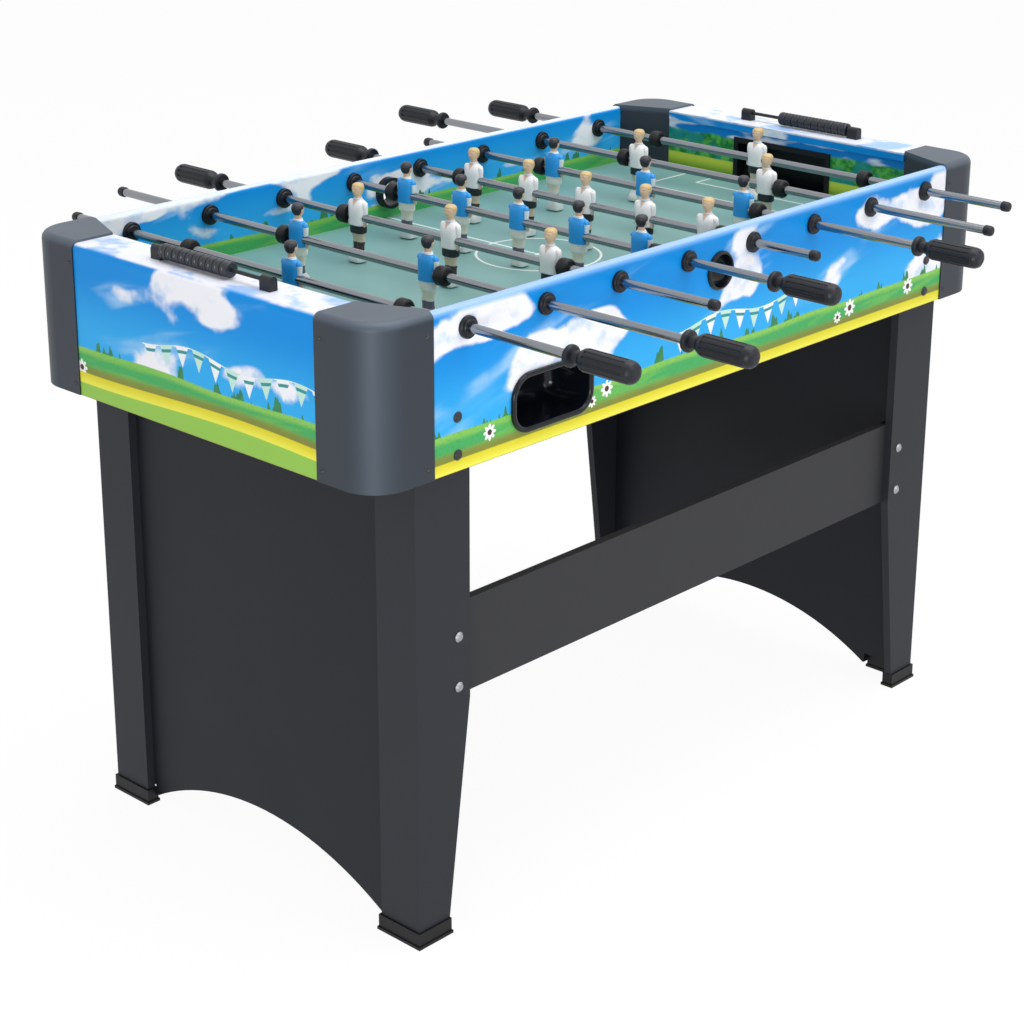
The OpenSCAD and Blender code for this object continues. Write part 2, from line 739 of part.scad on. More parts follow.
// The row of beads with its middle at y, each with a groove round it and round edges.
module score_beads(x, y) {
    r = bead_d / 2;
    h = bead_l - bead_gap;
    for (k = [0 : beads - 1]) {
        y_turn(x, y + (k - beads / 2) * bead_l + bead_gap / 2, wire_z) polygon([
            [wire_d / 2 + 0.3, 0], [r - 1.6, 0], [r - 0.4, 0.5], [r, 1.6], [r, h / 2 - 1.2],
            [r - 0.8, h / 2 - 0.4], [r - 0.8, h / 2 + 0.4], [r, h / 2 + 1.2], [r, h - 1.6],
            [r - 0.4, h - 0.5], [r - 1.6, h], [wire_d / 2 + 0.3, h]]);
    }
}
module score_beads_left() {
    color("#303034") score_beads(-counter_x, bead_rest_left);
}
module score_beads_right() {
    color("#303034") score_beads(counter_x, bead_rest_right);
}

// ---------------------------------------------------------------- rods

// Moves a child to rod k, its handle on the rod's own side, with the players' middle at zero.
module at_rod(k) {
    translate([rod_x(k), rod_rest[k], rod_z]) scale_side(rod_side[k]) children();
}
// Keeps a child as it is for +1 and turns it half round about Z for -1.
module scale_side(s) {
    rotate([0, 0, s > 0 ? 0 : 180]) children();
}

// The steel tube, with its handle end towards +Y.
module rod_tube(k) {
    n = rod_men[k];
    color("silver") at_rod(k) difference() {
        y_cyl(rod_d, -tip_end(n) + 4, grip_end(n) - 12, 0, 0);
        y_cyl(rod_d - 2 * rod_wall, -tip_end(n) + 3, grip_end(n) - 11, 0, 0);
    }
}

// Front outline of a player in Y and Z: shirt with arms, shorts, legs together and boots.
module man_front() {
    w = man_w / 2;
    polygon([
        [4, 24], [w * 0.62, 21], [w * 0.92, 16], [w, 2], [w * 0.9, -5], [w * 0.76, -6],
        [w * 0.72, -9], [w * 0.74, -23], [w * 0.5, -25], [w * 0.46, -man_down + 10],
        [w * 0.58, -man_down + 7], [w * 0.58, -man_down], [-w * 0.58, -man_down],
        [-w * 0.58, -man_down + 7], [-w * 0.46, -man_down + 10], [-w * 0.5, -25],
        [-w * 0.74, -23], [-w * 0.72, -9], [-w * 0.76, -6], [-w * 0.9, -5], [-w, 2],
        [-w * 0.92, 16], [-w * 0.62, 21], [-4, 24]]);
}
// Side outline of a player in X and Z, facing +X: chest, shorts, legs and a wedge-shaped boot.
module man_side() {
    t = man_t / 2;
    polygon([
        [-3.5, 24], [-t * 0.7, 20], [-t, 10], [-t, -8], [-t * 0.95, -22], [-t * 0.5, -27],
        [-t * 0.5, -man_down + 14], [-t * 0.75, -man_down + 8], [-t * 0.75, -man_down + 1],
        [-t * 0.6, -man_down], [t * 1.2, -man_down], [t * 1.35, -man_down + 3],
        [t * 1.2, -man_down + 7], [t * 0.5, -man_down + 14], [t * 0.5, -27], [t * 0.9, -22],
        [t, -6], [t, 12], [t * 0.6, 21], [3.5, 24]]);
}
// One player on the rod's axis, facing +X, with the rod's bore through the chest.
module man() {
    neck_r = head_r * 0.55;
    difference() {
        union() {
            intersection() {
                translate([man_t * 2, 0, 0]) rotate([90, 0, 90])
                    linear_extrude(man_t * 4, center = true) man_front();
                rotate([90, 0, 0]) linear_extrude(man_w + 2, center = true) man_side();
            }
            translate([0, 0, 22]) cylinder(r = neck_r, h = man_up - 22 - head_r);
            translate([0, 0, man_up - head_r]) sphere(r = head_r);
        }
        y_cyl(seat_d, -man_w, man_w, 0, 0);
    }
}
module players(k) {
    n = rod_men[k];
    blue = rod_side[k] < 0;
    color(blue ? "royalblue" : "whitesmoke") at_rod(k) for (m = [0 : n - 1]) {
        translate([0, (m - (n - 1) / 2) * spacing(n), 0])
            rotate([0, 0, 180]) man();
    }
}

// Profile of the handle as radius and height from its collar to its closed end.
module grip_profile() {
    r = grip_d / 2;
    neck_r = rod_d / 2 + 2.2;
    polygon([
        [0, 0], [collar_d / 2 - 2, 0], [collar_d / 2 - 0.6, 0.6], [collar_d / 2, 2],
        [collar_d / 2, 5], [collar_d / 2 - 0.6, 6.4], [collar_d / 2 - 2, 7], [neck_r, 8],
        [neck_r, 17], [r - 3, 20], [r - 0.8, 23.5], [r, 27], [r, grip_l - 10],
        [r - 0.7, grip_l - 6], [r - 2.6, grip_l - 2.6], [r - 5.5, grip_l - 0.7],
        [r - 9, grip_l], [0, grip_l]]);
}
module grip(k) {
    n = rod_men[k];
    flute_r = 1.6;
    color("#26272a") at_rod(k) {
        difference() {
            y_turn(0, grip_end(n) - grip_l, 0) grip_profile();
            y_cyl(seat_d, grip_end(n) - grip_l - 1, grip_end(n) - 10, 0, 0);
            for (a = [0 : flutes - 1]) rotate([0, a * 360 / flutes, 0])
                y_cyl(2 * flute_r, grip_end(n) - grip_l + 28, grip_end(n) - 12, grip_d / 2 + 0.5, 0);
        }
        difference() {
            y_turn(0, -tip_end(n) + tip_l, 0, -1) polygon([
                [0, 0], [tip_d / 2 - 0.6, 0], [tip_d / 2, 0.6], [tip_d / 2, tip_l - 4],
                [tip_d / 2 - 1, tip_l - 1.2], [tip_d / 2 - 3.5, tip_l], [0, tip_l]]);
            y_cyl(seat_d, -tip_end(n) + 3, -tip_end(n) + tip_l + 1, 0, 0);
        }
    }
}

// The two rubber bumpers that ride on a rod and stop it at the bearings.
module bumpers(k) {
    n = rod_men[k];
    r = bumper_d / 2;
    h = bumper_l;
    color("#1a1a1a") at_rod(k) for (s = [-1, 1]) {
        y_turn(0, s * bumper_at(n) - h / 2, 0) polygon([
            [rod_bore / 2, 0], [r - 3, 0], [r - 1, 1], [r, 3], [r, h - 3], [r - 1, h - 1],
            [r - 3, h], [rod_bore / 2, h]]);
    }
}

// ---------------------------------------------------------------- nodes

side_rail_near();
side_rail_far();
end_rail_left();
end_rail_right();
goal_wall_left();
goal_wall_right();
playfield();
corner_caps();
goal_frame_left();
goal_frame_right();
ball_chute_left();
ball_chute_right();
return_cup_near();
return_cup_far();
ball_entry_cups();
rod_bearings();
leg_near_left();
leg_far_left();
leg_near_right();
leg_far_right();
leg_panel_left();
leg_panel_right();
stretchers();
feet();
fasteners();
score_wires();
score_beads_left();
score_beads_right();
for (k = [0 : rods - 1]) {
    rod_tube(k);
    players(k);
    grip(k);
    bumpers(k);
}
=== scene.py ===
# Four-foot foosball table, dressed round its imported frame: printed cabinet boards, moulded
# corner caps, laminate legs, steel rods with painted players, ribbed handles and counters.
import math

import bpy
import numpy as np
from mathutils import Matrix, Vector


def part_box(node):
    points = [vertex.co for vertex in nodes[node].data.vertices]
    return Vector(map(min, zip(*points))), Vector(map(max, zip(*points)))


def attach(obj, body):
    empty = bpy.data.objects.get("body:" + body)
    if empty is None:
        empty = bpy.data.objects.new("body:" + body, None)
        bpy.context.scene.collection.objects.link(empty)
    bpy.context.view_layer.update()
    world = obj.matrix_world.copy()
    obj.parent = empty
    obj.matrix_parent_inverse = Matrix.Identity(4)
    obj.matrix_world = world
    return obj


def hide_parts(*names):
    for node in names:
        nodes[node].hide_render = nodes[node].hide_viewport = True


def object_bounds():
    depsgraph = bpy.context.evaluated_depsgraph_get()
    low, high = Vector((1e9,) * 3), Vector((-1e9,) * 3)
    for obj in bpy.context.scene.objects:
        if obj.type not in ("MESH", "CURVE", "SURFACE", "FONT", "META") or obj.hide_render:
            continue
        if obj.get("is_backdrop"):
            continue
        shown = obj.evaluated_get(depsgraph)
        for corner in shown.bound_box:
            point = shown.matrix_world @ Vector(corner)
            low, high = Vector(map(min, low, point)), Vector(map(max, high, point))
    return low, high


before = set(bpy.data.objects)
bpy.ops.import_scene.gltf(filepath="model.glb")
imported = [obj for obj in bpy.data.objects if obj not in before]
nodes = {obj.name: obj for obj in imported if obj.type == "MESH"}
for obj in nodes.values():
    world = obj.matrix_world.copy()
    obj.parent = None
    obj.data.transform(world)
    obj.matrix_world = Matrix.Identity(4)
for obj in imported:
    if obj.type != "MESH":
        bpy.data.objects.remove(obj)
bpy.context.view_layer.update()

# ---- Studio -------------------------------------------------------------------------------
# A pale floor that runs out of sight, one broad soft light overhead, a second from the front
# and a third low on the left, for the corner cap. The camera stands off the left near corner.
CAMERA_AT = (-2.20776, -2.03114, 1.51799)
LOOK = (0.695055, 0.643027, -0.321581)
ROLL = math.radians(0.361)
SENSOR = 36.0
LENS = 80.278
LENS_SHIFT = (-0.01898, -0.10477)
FLOOR_HALF = 40.0
FLOOR_GREY = 0.86
FLOOR_GLOW = 1.04
GLOW_SHARE = 0.90
# How bright the world is as a light, and how bright it looks.
WORLD_LIT, WORLD_SEEN = 0.46, 1.0


def tint(red, green, blue):
    """The linear colour of three screen values from 0 to 255, by the sRGB curve."""
    part = np.array([red, green, blue]) / 255
    line = np.where(part <= 0.04045, part / 12.92, ((part + 0.055) / 1.055) ** 2.4)
    return (*line.tolist(), 1.0)


class Field:
    """A value over a surface: a node's output whose arithmetic signs add Math nodes."""

    def __init__(self, net, socket):
        self.net, self.socket = net, socket

    def __add__(self, other):
        return self.net.calc("ADD", self, other)

    def __sub__(self, other):
        return self.net.calc("SUBTRACT", self, other)

    def __mul__(self, other):
        return self.net.calc("MULTIPLY", self, other)

    def __truediv__(self, other):
        return self.net.calc("DIVIDE", self, other)

    def __rsub__(self, other):
        return self.net.calc("SUBTRACT", other, self)

    def __pow__(self, other):
        return self.net.calc("POWER", self, other)

    __radd__, __rmul__ = __add__, __mul__


class Net:
    """Adds nodes to one tree. Numbers, colours and fields may be given for any input."""

    def __init__(self, tree):
        self.tree = tree

    def put(self, socket, value):
        """A field linked to an input, or a plain value set on it."""
        if isinstance(value, Field):
            self.tree.links.new(value.socket, socket)
        else:
            socket.default_value = value

    def node(self, kind, values, out=0, **settings):
        """One node: settings first, then its inputs by name or number; gives output out."""
        made = self.tree.nodes.new("ShaderNode" + kind)
        for name, value in settings.items():
            setattr(made, name, value)
        for key, value in values.items():
            self.put(made.inputs[key], value)
        return Field(self, made.outputs[out])

    def calc(self, operation, *values):
        """A Math node."""
        return self.node("Math", dict(enumerate(values)), operation=operation)

    def step(self, value, low, high):
        """0 below low, 1 above high and an S-curve between them; turned over if low > high."""
        return self.node("MapRange", {"Value": value, "From Min": low, "From Max": high},
                         interpolation_type="SMOOTHSTEP")

    def mix(self, a, b, share):
        """From colour a at share 0 to colour b at share 1."""
        return self.node("Mix", {0: share, 6: a, 7: b}, out=2, data_type="RGBA")

    def point(self, x, y, z=0.0):
        """A vector from its three parts."""
        return self.node("CombineXYZ", {0: x, 1: y, 2: z})

    def split(self, vector):
        """The three parts of a vector."""
        made = self.node("SeparateXYZ", {0: vector}).socket.node
        return [Field(self, socket) for socket in made.outputs]

    def noise(self, at, size, detail=2.0, rough=0.5, bend=0.0):
        """Fractal noise from 0 to 1 with features about size metres across."""
        return self.node("TexNoise", {"Vector": at, "Scale": 1 / size, "Detail": detail,
                                      "Roughness": rough, "Distortion": bend})

    def place(self):
        """The object's own coordinates, in metres."""
        return self.node("TexCoord", {}, out=3)

    def group(self, tree, **values):
        """A placed group; gives its outputs by name."""
        made = self.tree.nodes.new("ShaderNodeGroup")
        made.node_tree = tree
        for key, value in values.items():
            self.put(made.inputs[key.replace("_", " ")], value)
        return {socket.name: Field(self, socket) for socket in made.outputs}


bpy.context.scene.view_settings.view_transform = "Standard"
camera = bpy.data.objects.new("camera", bpy.data.cameras.new("camera"))
bpy.context.scene.collection.objects.link(camera)
bpy.context.scene.camera = camera
camera.data.sensor_width, camera.data.lens = SENSOR, LENS
camera.data.shift_x, camera.data.shift_y = LENS_SHIFT
camera.data.clip_start, camera.data.clip_end = 0.05, 200
forward = Vector(LOOK)
camera.rotation_mode = "QUATERNION"
camera.location = CAMERA_AT
camera.rotation_quaternion = (Matrix.Rotation(-ROLL, 4, forward)
                              @ forward.to_track_quat("-Z", "Y").to_matrix().to_4x4()).to_quaternion()


def seen_share(net):
    """1 for rays from the camera, in a mirror or through glass, 0 for rays that light."""
    path = net.tree.nodes.new("ShaderNodeLightPath")
    seen = [Field(net, path.outputs[key]) for key in
            ("Is Camera Ray", "Is Glossy Ray", "Is Transmission Ray")]
    return net.calc("MAXIMUM", net.calc("MAXIMUM", seen[0], seen[1]), seen[2])


world = bpy.data.worlds.new("studio")
bpy.context.scene.world = world
world.use_nodes = True
world_net = Net(world.node_tree)
world_shader = world.node_tree.nodes["Background"]
world_shader.inputs["Color"].default_value = (1, 1, 1, 1)
world_net.put(world_shader.inputs["Strength"],
              WORLD_LIT + (WORLD_SEEN - WORLD_LIT) * seen_share(world_net))

floor_mesh = bpy.data.meshes.new("floor")
floor_mesh.from_pydata([(x * FLOOR_HALF, y * FLOOR_HALF, 0) for x, y in
                        ((-1, -1), (1, -1), (1, 1), (-1, 1))], [], [(0, 1, 2, 3)])
floor = bpy.data.objects.new("floor", floor_mesh)
bpy.context.scene.collection.objects.link(floor)
floor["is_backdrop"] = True
pale = bpy.data.materials.new("pale_floor")
pale.use_nodes = True
pale_net = Net(pale.node_tree)
pale.node_tree.nodes.remove(pale.node_tree.nodes["Principled BSDF"])
matt = pale_net.node("BsdfDiffuse", {"Color": (FLOOR_GREY, FLOOR_GREY, FLOOR_GREY, 1)})
glow = pale_net.node("Emission", {"Color": (1, 1, 1, 1), "Strength": FLOOR_GLOW})
both = pale_net.node("MixShader", {0: GLOW_SHARE * seen_share(pale_net), 1: matt, 2: glow})
pale_net.put(pale.node_tree.nodes["Material Output"].inputs["Surface"], both)
floor_mesh.materials.append(pale)


def soft_light(name, at, towards, size, power):
    """A square area light at one point, facing another."""
    made = bpy.data.objects.new(name, bpy.data.lights.new(name, "AREA"))
    bpy.context.scene.collection.objects.link(made)
    made.data.size, made.data.energy = size, power
    made.location = at
    made.visible_camera = False
    made.rotation_mode = "QUATERNION"
    made.rotation_quaternion = (Vector(towards) - Vector(at)).to_track_quat("-Z", "Y")


soft_light("overhead", (0.3, -0.5, 3.6), (0, 0, 0.6), 3.0, 78)
soft_light("front", (0.9, -4.2, 2.2), (0, 0, 0.5), 2.4, 36)
soft_light("low_left", (-3.3, -2.6, 0.6), (-0.5, -0.2, 0.6), 1.4, 62)

# ---- Cabinet boards -----------------------------------------------------------------------
# Particle board wrapped in a printed, satin foil: sky and clouds over a meadow with bushes, a
# string of pennants, daisies and a yellow stripe. The rails are bolted to the legs at the ends.
PANEL_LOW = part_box("side_rail_near")[0].z
FIELD_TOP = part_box("playfield")[1].z
RAIL_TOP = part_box("end_rail_left")[1].z
RAIL_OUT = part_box("side_rail_far")[1].y
RAIL_THICK = 0.016
RAIL_IN = RAIL_OUT - RAIL_THICK
END_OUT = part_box("end_rail_right")[1].x
WALL_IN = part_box("goal_wall_right")[0].x
# Half the width over which one printed colour gives way to the next: a sharp edge, a soft one.
CRISP, SOFT = 0.0004, 0.0008
MOTTLE_SIZE = 0.09


def new_group(name, inputs, outputs):
    """An empty shader group with float or vector inputs and float or colour outputs; gives
    its tree, a Net in it, its inputs by name and its output node."""
    tree = bpy.data.node_groups.new(name, "ShaderNodeTree")
    for key, kind, default in inputs:
        made = tree.interface.new_socket(key, in_out="INPUT", socket_type="NodeSocket" + kind)
        if default is not None:
            made.default_value = default
    for key, kind in outputs:
        tree.interface.new_socket(key, in_out="OUTPUT", socket_type="NodeSocket" + kind)
    net = Net(tree)
    entry, leave = tree.nodes.new("NodeGroupInput"), tree.nodes.new("NodeGroupOutput")
    return tree, net, {s.name: Field(net, s) for s in entry.outputs if s.name}, leave


def finish(name, build, bump=0.0, depth=0.0002, **constants):
    """A material: build(net) gives the fields that feed the Principled shader's sockets, with
    Height going through a Bump node; constants are set on the shader's own sockets."""
    made = bpy.data.materials.new(name)
    made.use_nodes = True
    net = Net(made.node_tree)
    shader = made.node_tree.nodes["Principled BSDF"]
    for key, value in constants.items():
        shader.inputs[key.replace("_", " ")].default_value = value
    for key, value in build(net).items():
        if key == "Height":
            key, value = "Normal", net.node(
                "Bump", {"Strength": bump, "Distance": depth, "Height": value})
        net.put(shader.inputs[key.replace("_", " ")], value)
    return made


def dress(material, *names):
    """The material on CAD nodes."""
    for name in names:
        for slot in nodes[name].material_slots:
            slot.material = material


grain_group, net, given, leave = new_group(
    "fine_grain", [("At", "Vector", None), ("Size", "Float", 0.001)],
    [("Grain", "Float"), ("Mottle", "Float")])
fine = net.node("TexNoise", {"Vector": given["At"], "Detail": 2.0,
                             "Scale": net.calc("DIVIDE", 1.0, given["Size"])})
net.put(leave.inputs["Grain"], fine)
net.put(leave.inputs["Mottle"], net.noise(given["At"], MOTTLE_SIZE, 3))

# A daisy with a round eye: at an angle a, its petals reach 0.55 + 0.45 |cos 4a| of its size.
PETAL_INNER, EYE_SHARE = 0.55, 0.34

daisy_group, net, given, leave = new_group(
    "daisy", [("X", "Float", 0.0), ("Y", "Float", 0.0), ("Size", "Float", 0.012)],
    [("Petals", "Float"), ("Eye", "Float")])
reach = net.calc("SQRT", given["X"] ** 2 + given["Y"] ** 2)
lobes = net.calc("ABSOLUTE", net.calc("COSINE", net.calc("ARCTAN2", given["Y"], given["X"]) * 4.0))
petal = given["Size"] * (PETAL_INNER + (1 - PETAL_INNER) * lobes)
net.put(leave.inputs["Petals"], net.step(reach - petal, CRISP, -CRISP))
net.put(leave.inputs["Eye"], net.step(reach - given["Size"] * EYE_SHARE, CRISP, -CRISP))

# The printed picture. Along and Up are places on the board in metres, Shift picks another sky,
# and Meadow and Stripe are the heights of the grass and of the stripe's lower edge.
print_group, net, given, leave = new_group(
    "printed_meadow",
    [("Along", "Float", 0.0), ("Up", "Float", 0.0), ("Shift", "Float", 0.0),
     ("Meadow", "Float", 0.05), ("Stripe", "Float", 0.0), ("Stripe Width", "Float", 0.015),
     ("Wave", "Float", 0.0), ("Flags", "Float", 1.0), ("Daisies", "Float", 1.0)],
    [("Color", "Color")])
along, up, shift, meadow = (given[key] for key in ("Along", "Up", "Shift", "Meadow"))
spot = net.point(along, up, shift)

# Sky with clouds where broad noise and fine puffs add up to enough. A cloud is pale where its
# puffs are thicker than just above, as if lit from there, and thin streaks lie between clouds.
CLOUD_SIZE, PUFF_SIZE, PUFF_SHADE = 0.135, 0.045, 0.012
CLOUD_FROM, CLOUD_FULL = 0.508, 0.556
sky = net.mix(tint(48, 174, 242), tint(0, 142, 226), net.step(up, meadow + 0.01, meadow + 0.10))
body = net.noise(net.point(along * 0.8 - up * 0.35, up * 1.5, shift), CLOUD_SIZE, 1.5, 0.45)
puff = net.noise(spot, PUFF_SIZE, 3.0, 0.5)
thick = body + 0.17 * (puff - 0.5) - 0.10 * net.step(up, meadow + 0.03, meadow)
under = net.noise(net.point(along, up + PUFF_SHADE, shift), PUFF_SIZE, 3.0, 0.5)
lit = net.step(0.5 + 2.2 * (puff - under), 0.05, 0.55)
streak = net.noise(net.point(along * 4 - up * 5, up * 22 - along * 5, shift), 1.0, 3.0, 0.55)
streaked = net.step(streak, 0.55, 0.72) * net.step(thick, 0.40, 0.50)
sky = net.mix(sky, tint(176, 218, 250), 0.7 * streaked)
cloud = net.mix(tint(204, 222, 248), tint(247, 248, 255), lit)
scene = net.mix(sky, cloud, net.step(thick, CLOUD_FROM, CLOUD_FULL))

# Bushes in clumps along the far edge of the grass, then the grass, mown in bands and tufted.
BUSH_HIGH, BUSH_ROUGH = 0.024, 0.004
edge = meadow + 0.010 * (net.noise(net.point(along, 0.0, shift), 0.16, 1.0) - 0.5)
clump = net.noise(net.point(along, 0.0, shift + 4.0), 0.035, 3.0, 0.65)
leafy = net.noise(spot, 0.006, 3.0, 0.7) - 0.5
crown = edge - 0.004 + BUSH_HIGH * net.step(clump, 0.50, 0.66) + BUSH_ROUGH * leafy
bush = net.mix(tint(26, 104, 88), tint(76, 158, 84), net.noise(spot, 0.010, 3.0))
scene = net.mix(scene, bush, net.step(up, crown + SOFT, crown - SOFT))
mown = net.noise(net.point(along * 6 + up * 20, up * 60 - along * 8, shift), 1.0, 2.0)
tuft = net.noise(spot, 0.003, 4.0, 0.7)
grass = net.mix(tint(142, 202, 92), tint(72, 174, 96), net.step(up, edge - 0.003, edge - 0.011))
grass = net.mix(grass, tint(124, 196, 84), 0.55 * net.step(mown, 0.46, 0.62))
grass = net.mix(grass, tint(40, 132, 92), 0.35 * net.step(tuft, 0.48, 0.7))
scene = net.mix(scene, grass, net.step(up, edge + SOFT, edge - SOFT))

# A string hung in waves, with pennants that narrow to their tips, by turns white and pale
# green, and a teal band across each.
FLAG_PITCH, FLAG_HALF, FLAG_DEEP, BAND_DEEP = 0.030, 0.0115, 0.026, 0.0065
STRING_UP, STRING_WAVE, STRING_TURN = 0.036, 0.006, 34.0
STRING_MIDDLE, STRING_HALF = 0.075, 0.166
string = meadow + STRING_UP + STRING_WAVE * net.calc("COSINE", along * STRING_TURN)
drop = string - up
beside = net.calc("ABSOLUTE", net.calc("FRACT", along / FLAG_PITCH) - 0.5) * FLAG_PITCH
flag = net.step(beside - FLAG_HALF * (1.0 - drop / FLAG_DEEP), CRISP, -CRISP) \
    * net.step(drop, -0.0003, 0.0003) * net.step(drop, FLAG_DEEP, FLAG_DEEP - 0.0005)
twine = net.step(net.calc("ABSOLUTE", drop), 0.0010, 0.0005)
every_other = net.step(net.calc("FRACT", along / (2 * FLAG_PITCH)), 0.49, 0.51)
cloth = net.mix(tint(198, 234, 222), tint(244, 248, 252), every_other)
band = net.step(net.calc("ABSOLUTE", drop - BAND_DEEP), 0.0022, 0.0018)
cloth = net.mix(cloth, tint(56, 150, 150), band)
hung = net.step(net.calc("ABSOLUTE", along - STRING_MIDDLE), STRING_HALF, STRING_HALF - 0.001)
scene = net.mix(scene, cloth, hung * given["Flags"] * net.calc("MAXIMUM", flag, twine))

# The grass browns towards the stripe. Daisies stand in it, and light green is below the stripe.
SOIL_FROM, SOIL_FULL = 0.015, 0.004
DAISIES = ((0.290, 0.034, 0.0125), (0.262, 0.026, 0.0085), (-0.215, 0.038, 0.0110),
           (-0.242, 0.028, 0.0080), (0.430, 0.036, 0.0120), (-0.420, 0.034, 0.0105))
stripe_low = given["Stripe"] + given["Wave"] * net.calc("SINE", along * 11.0 + shift)
stripe_high = stripe_low + given["Stripe Width"]
soil = net.mix(tint(150, 140, 52), tint(116, 124, 52), net.noise(spot, 0.05, 3.0))
brown = net.step(up, stripe_high + SOIL_FROM, stripe_high + SOIL_FULL)
scene = net.mix(scene, soil, 0.88 * brown)
for far, high, size in DAISIES:
    bloom = net.group(daisy_group, X=along - far, Y=up - high, Size=size)
    scene = net.mix(scene, tint(246, 246, 244), given["Daisies"] * bloom["Petals"])
    scene = net.mix(scene, tint(74, 56, 36), given["Daisies"] * bloom["Eye"])
yellow = net.mix(tint(226, 214, 44), tint(240, 236, 84), net.step(up, stripe_high, stripe_low))
scene = net.mix(scene, yellow, net.step(up, stripe_high + 0.0006, stripe_high - 0.0006))
scene = net.mix(scene, tint(150, 200, 84), net.step(up, stripe_low + 0.0006, stripe_low - 0.0006))
net.put(leave.inputs["Color"], scene)


def board_finish(name, layout):
    """Printed foil over a board: layout(net, x, y, z) gives the print's colour field."""
    def build(net):
        at = net.place()
        x, y, z = net.split(at)
        grain = net.group(grain_group, At=at, Size=0.0012)
        return {"Base Color": layout(net, x, y, z),
                "Roughness": 0.30 + 0.12 * grain["Mottle"],
                "Height": grain["Grain"]}
    return finish(name, build, bump=0.05, Specular_IOR_Level=0.20)


BARE_BOARD = tint(150, 120, 86)


def topped(net, look, above, z):
    """A look with another one on the top face, and bare board on the lower edge."""
    look = net.mix(look, above, net.step(z, RAIL_TOP - 0.0035, RAIL_TOP - 0.0008))
    return net.mix(look, BARE_BOARD, net.step(z, PANEL_LOW + 0.0008, PANEL_LOW + 0.0002))


def rail_print(net, x, y, z):
    """Side rails: one picture outside, another inside, a painted highlight of pale blue down the
    rounded top edge outside, pale sky on the top face, whiter on the far rail as a painted highlight,
    and bare board below."""
    side = net.calc("SIGN", y)
    outside = net.group(print_group, Along=0.0 - x * side, Up=z - PANEL_LOW, Shift=side * 1.3,
                        Meadow=0.047, Stripe=0.0, Stripe_Width=0.0145)["Color"]
    # Painted highlight: the rounded top edge outside is lightened to pale blue.
    edge_highlight = net.step(z, RAIL_TOP - 0.0095, RAIL_TOP - 0.0020)
    outside = net.mix(outside, tint(126, 182, 246), 0.9 * edge_highlight)
    inside = net.group(print_group, Along=x * side, Up=(z - FIELD_TOP) * 1.35 + 0.018,
                       Shift=side * 0.7 + 5.0, Meadow=0.046, Stripe=-0.2, Flags=0.0,
                       Daisies=0.0)["Color"]
    outer = net.step(net.calc("ABSOLUTE", y), RAIL_IN + 0.002, RAIL_OUT - 0.002)
    cloudy = net.noise(net.point(x, y * 2.0, 3.0), 0.09, 3.0)
    near = net.mix(tint(150, 190, 248), tint(176, 206, 252), cloudy)
    # Painted highlight: the far rail's top is whiter than the near rail's.
    far = net.mix(tint(214, 228, 250), tint(240, 245, 254), cloudy)
    above = net.mix(near, far, net.step(y, -0.01, 0.01))
    return topped(net, net.mix(inside, outside, outer), above, z)


def end_print(net, x, y, z):
    """End boxes: the picture outside, clouds over the shelf on top and near-black painted shade inside.
    """
    side = net.calc("SIGN", x)
    depth = net.calc("ABSOLUTE", x)
    outside = net.group(print_group, Along=y * side, Up=z - PANEL_LOW, Shift=side * 2.1 + 9.0,
                        Meadow=0.066, Stripe=0.022, Stripe_Width=0.014, Wave=0.004)["Color"]
    # Painted shade: the faces inside the end box, between the goal wall and the outside, are
    # near-black.
    shaded_inside = net.step(depth, END_OUT - 0.005, END_OUT - 0.007) \
        * net.step(depth, WALL_IN + 0.003, WALL_IN + 0.005)
    outside = net.mix(outside, tint(20, 21, 25), shaded_inside)
    drift = net.noise(net.point(x * 1.3, y, side), 0.060, 3.0, 0.5)
    above = net.mix(tint(158, 196, 246), tint(238, 240, 252), net.step(drift, 0.36, 0.50))
    rim = net.step(depth, END_OUT - 0.007, END_OUT - 0.001) * net.step(drift, 0.56, 0.48)
    above = net.mix(above, tint(60, 156, 236), 0.8 * rim)
    return topped(net, outside, above, z)


def wall_print(net, x, y, z):
    """Goal walls: a lime band along the field, a green bank with teal bushes and a strip of sky."""
    up = z - FIELD_TOP
    spot = net.point(y, z, x)
    lime = net.mix(tint(106, 158, 34), tint(206, 222, 78), net.step(up, 0.002, 0.022))
    clump = net.noise(spot, 0.016, 3.0, 0.6)
    bank = net.mix(tint(28, 128, 62), tint(96, 186, 84), net.step(clump, 0.38, 0.62))
    teal = net.step(net.noise(net.point(y, z * 0.6, x + 2.0), 0.030, 2.0), 0.52, 0.60)
    bank = net.mix(bank, tint(20, 142, 146), 0.8 * teal)
    look = net.mix(lime, bank, net.step(up, 0.0245, 0.0262))
    top = 0.062 + 0.014 * (net.noise(net.point(y, 0.0, x), 0.05, 2.0) - 0.5)
    haze = net.step(net.noise(net.point(y * 0.6, z * 2.0, x), 0.05, 2.0), 0.47, 0.58)
    sky = net.mix(tint(6, 128, 212), tint(226, 236, 250), haze)
    return net.mix(look, sky, net.step(up - top, -0.002, 0.003))


dress(board_finish("printed_rail_and_sheen", rail_print), "side_rail_near", "side_rail_far")
dress(board_finish("printed_end_and_shade", end_print), "end_rail_left", "end_rail_right")
dress(board_finish("printed_wall", wall_print), "goal_wall_left", "goal_wall_right")

# ---- Playing field ------------------------------------------------------------------------
# A thin hardboard sheet between the side rails, with the goal walls standing on its ends. Its
# upper face is printed grey-green with white pitch lines, and it is bare and brown below.
LINE_HALF = 0.0018
CIRCLE_RADIUS, SPOT_RADIUS = 0.085, 0.005
GOAL_LINE = 0.542
# How far each box at a goal reaches from the goal line, and half its width.
GOAL_BOXES = ((0.124, 0.165), (0.060, 0.115))


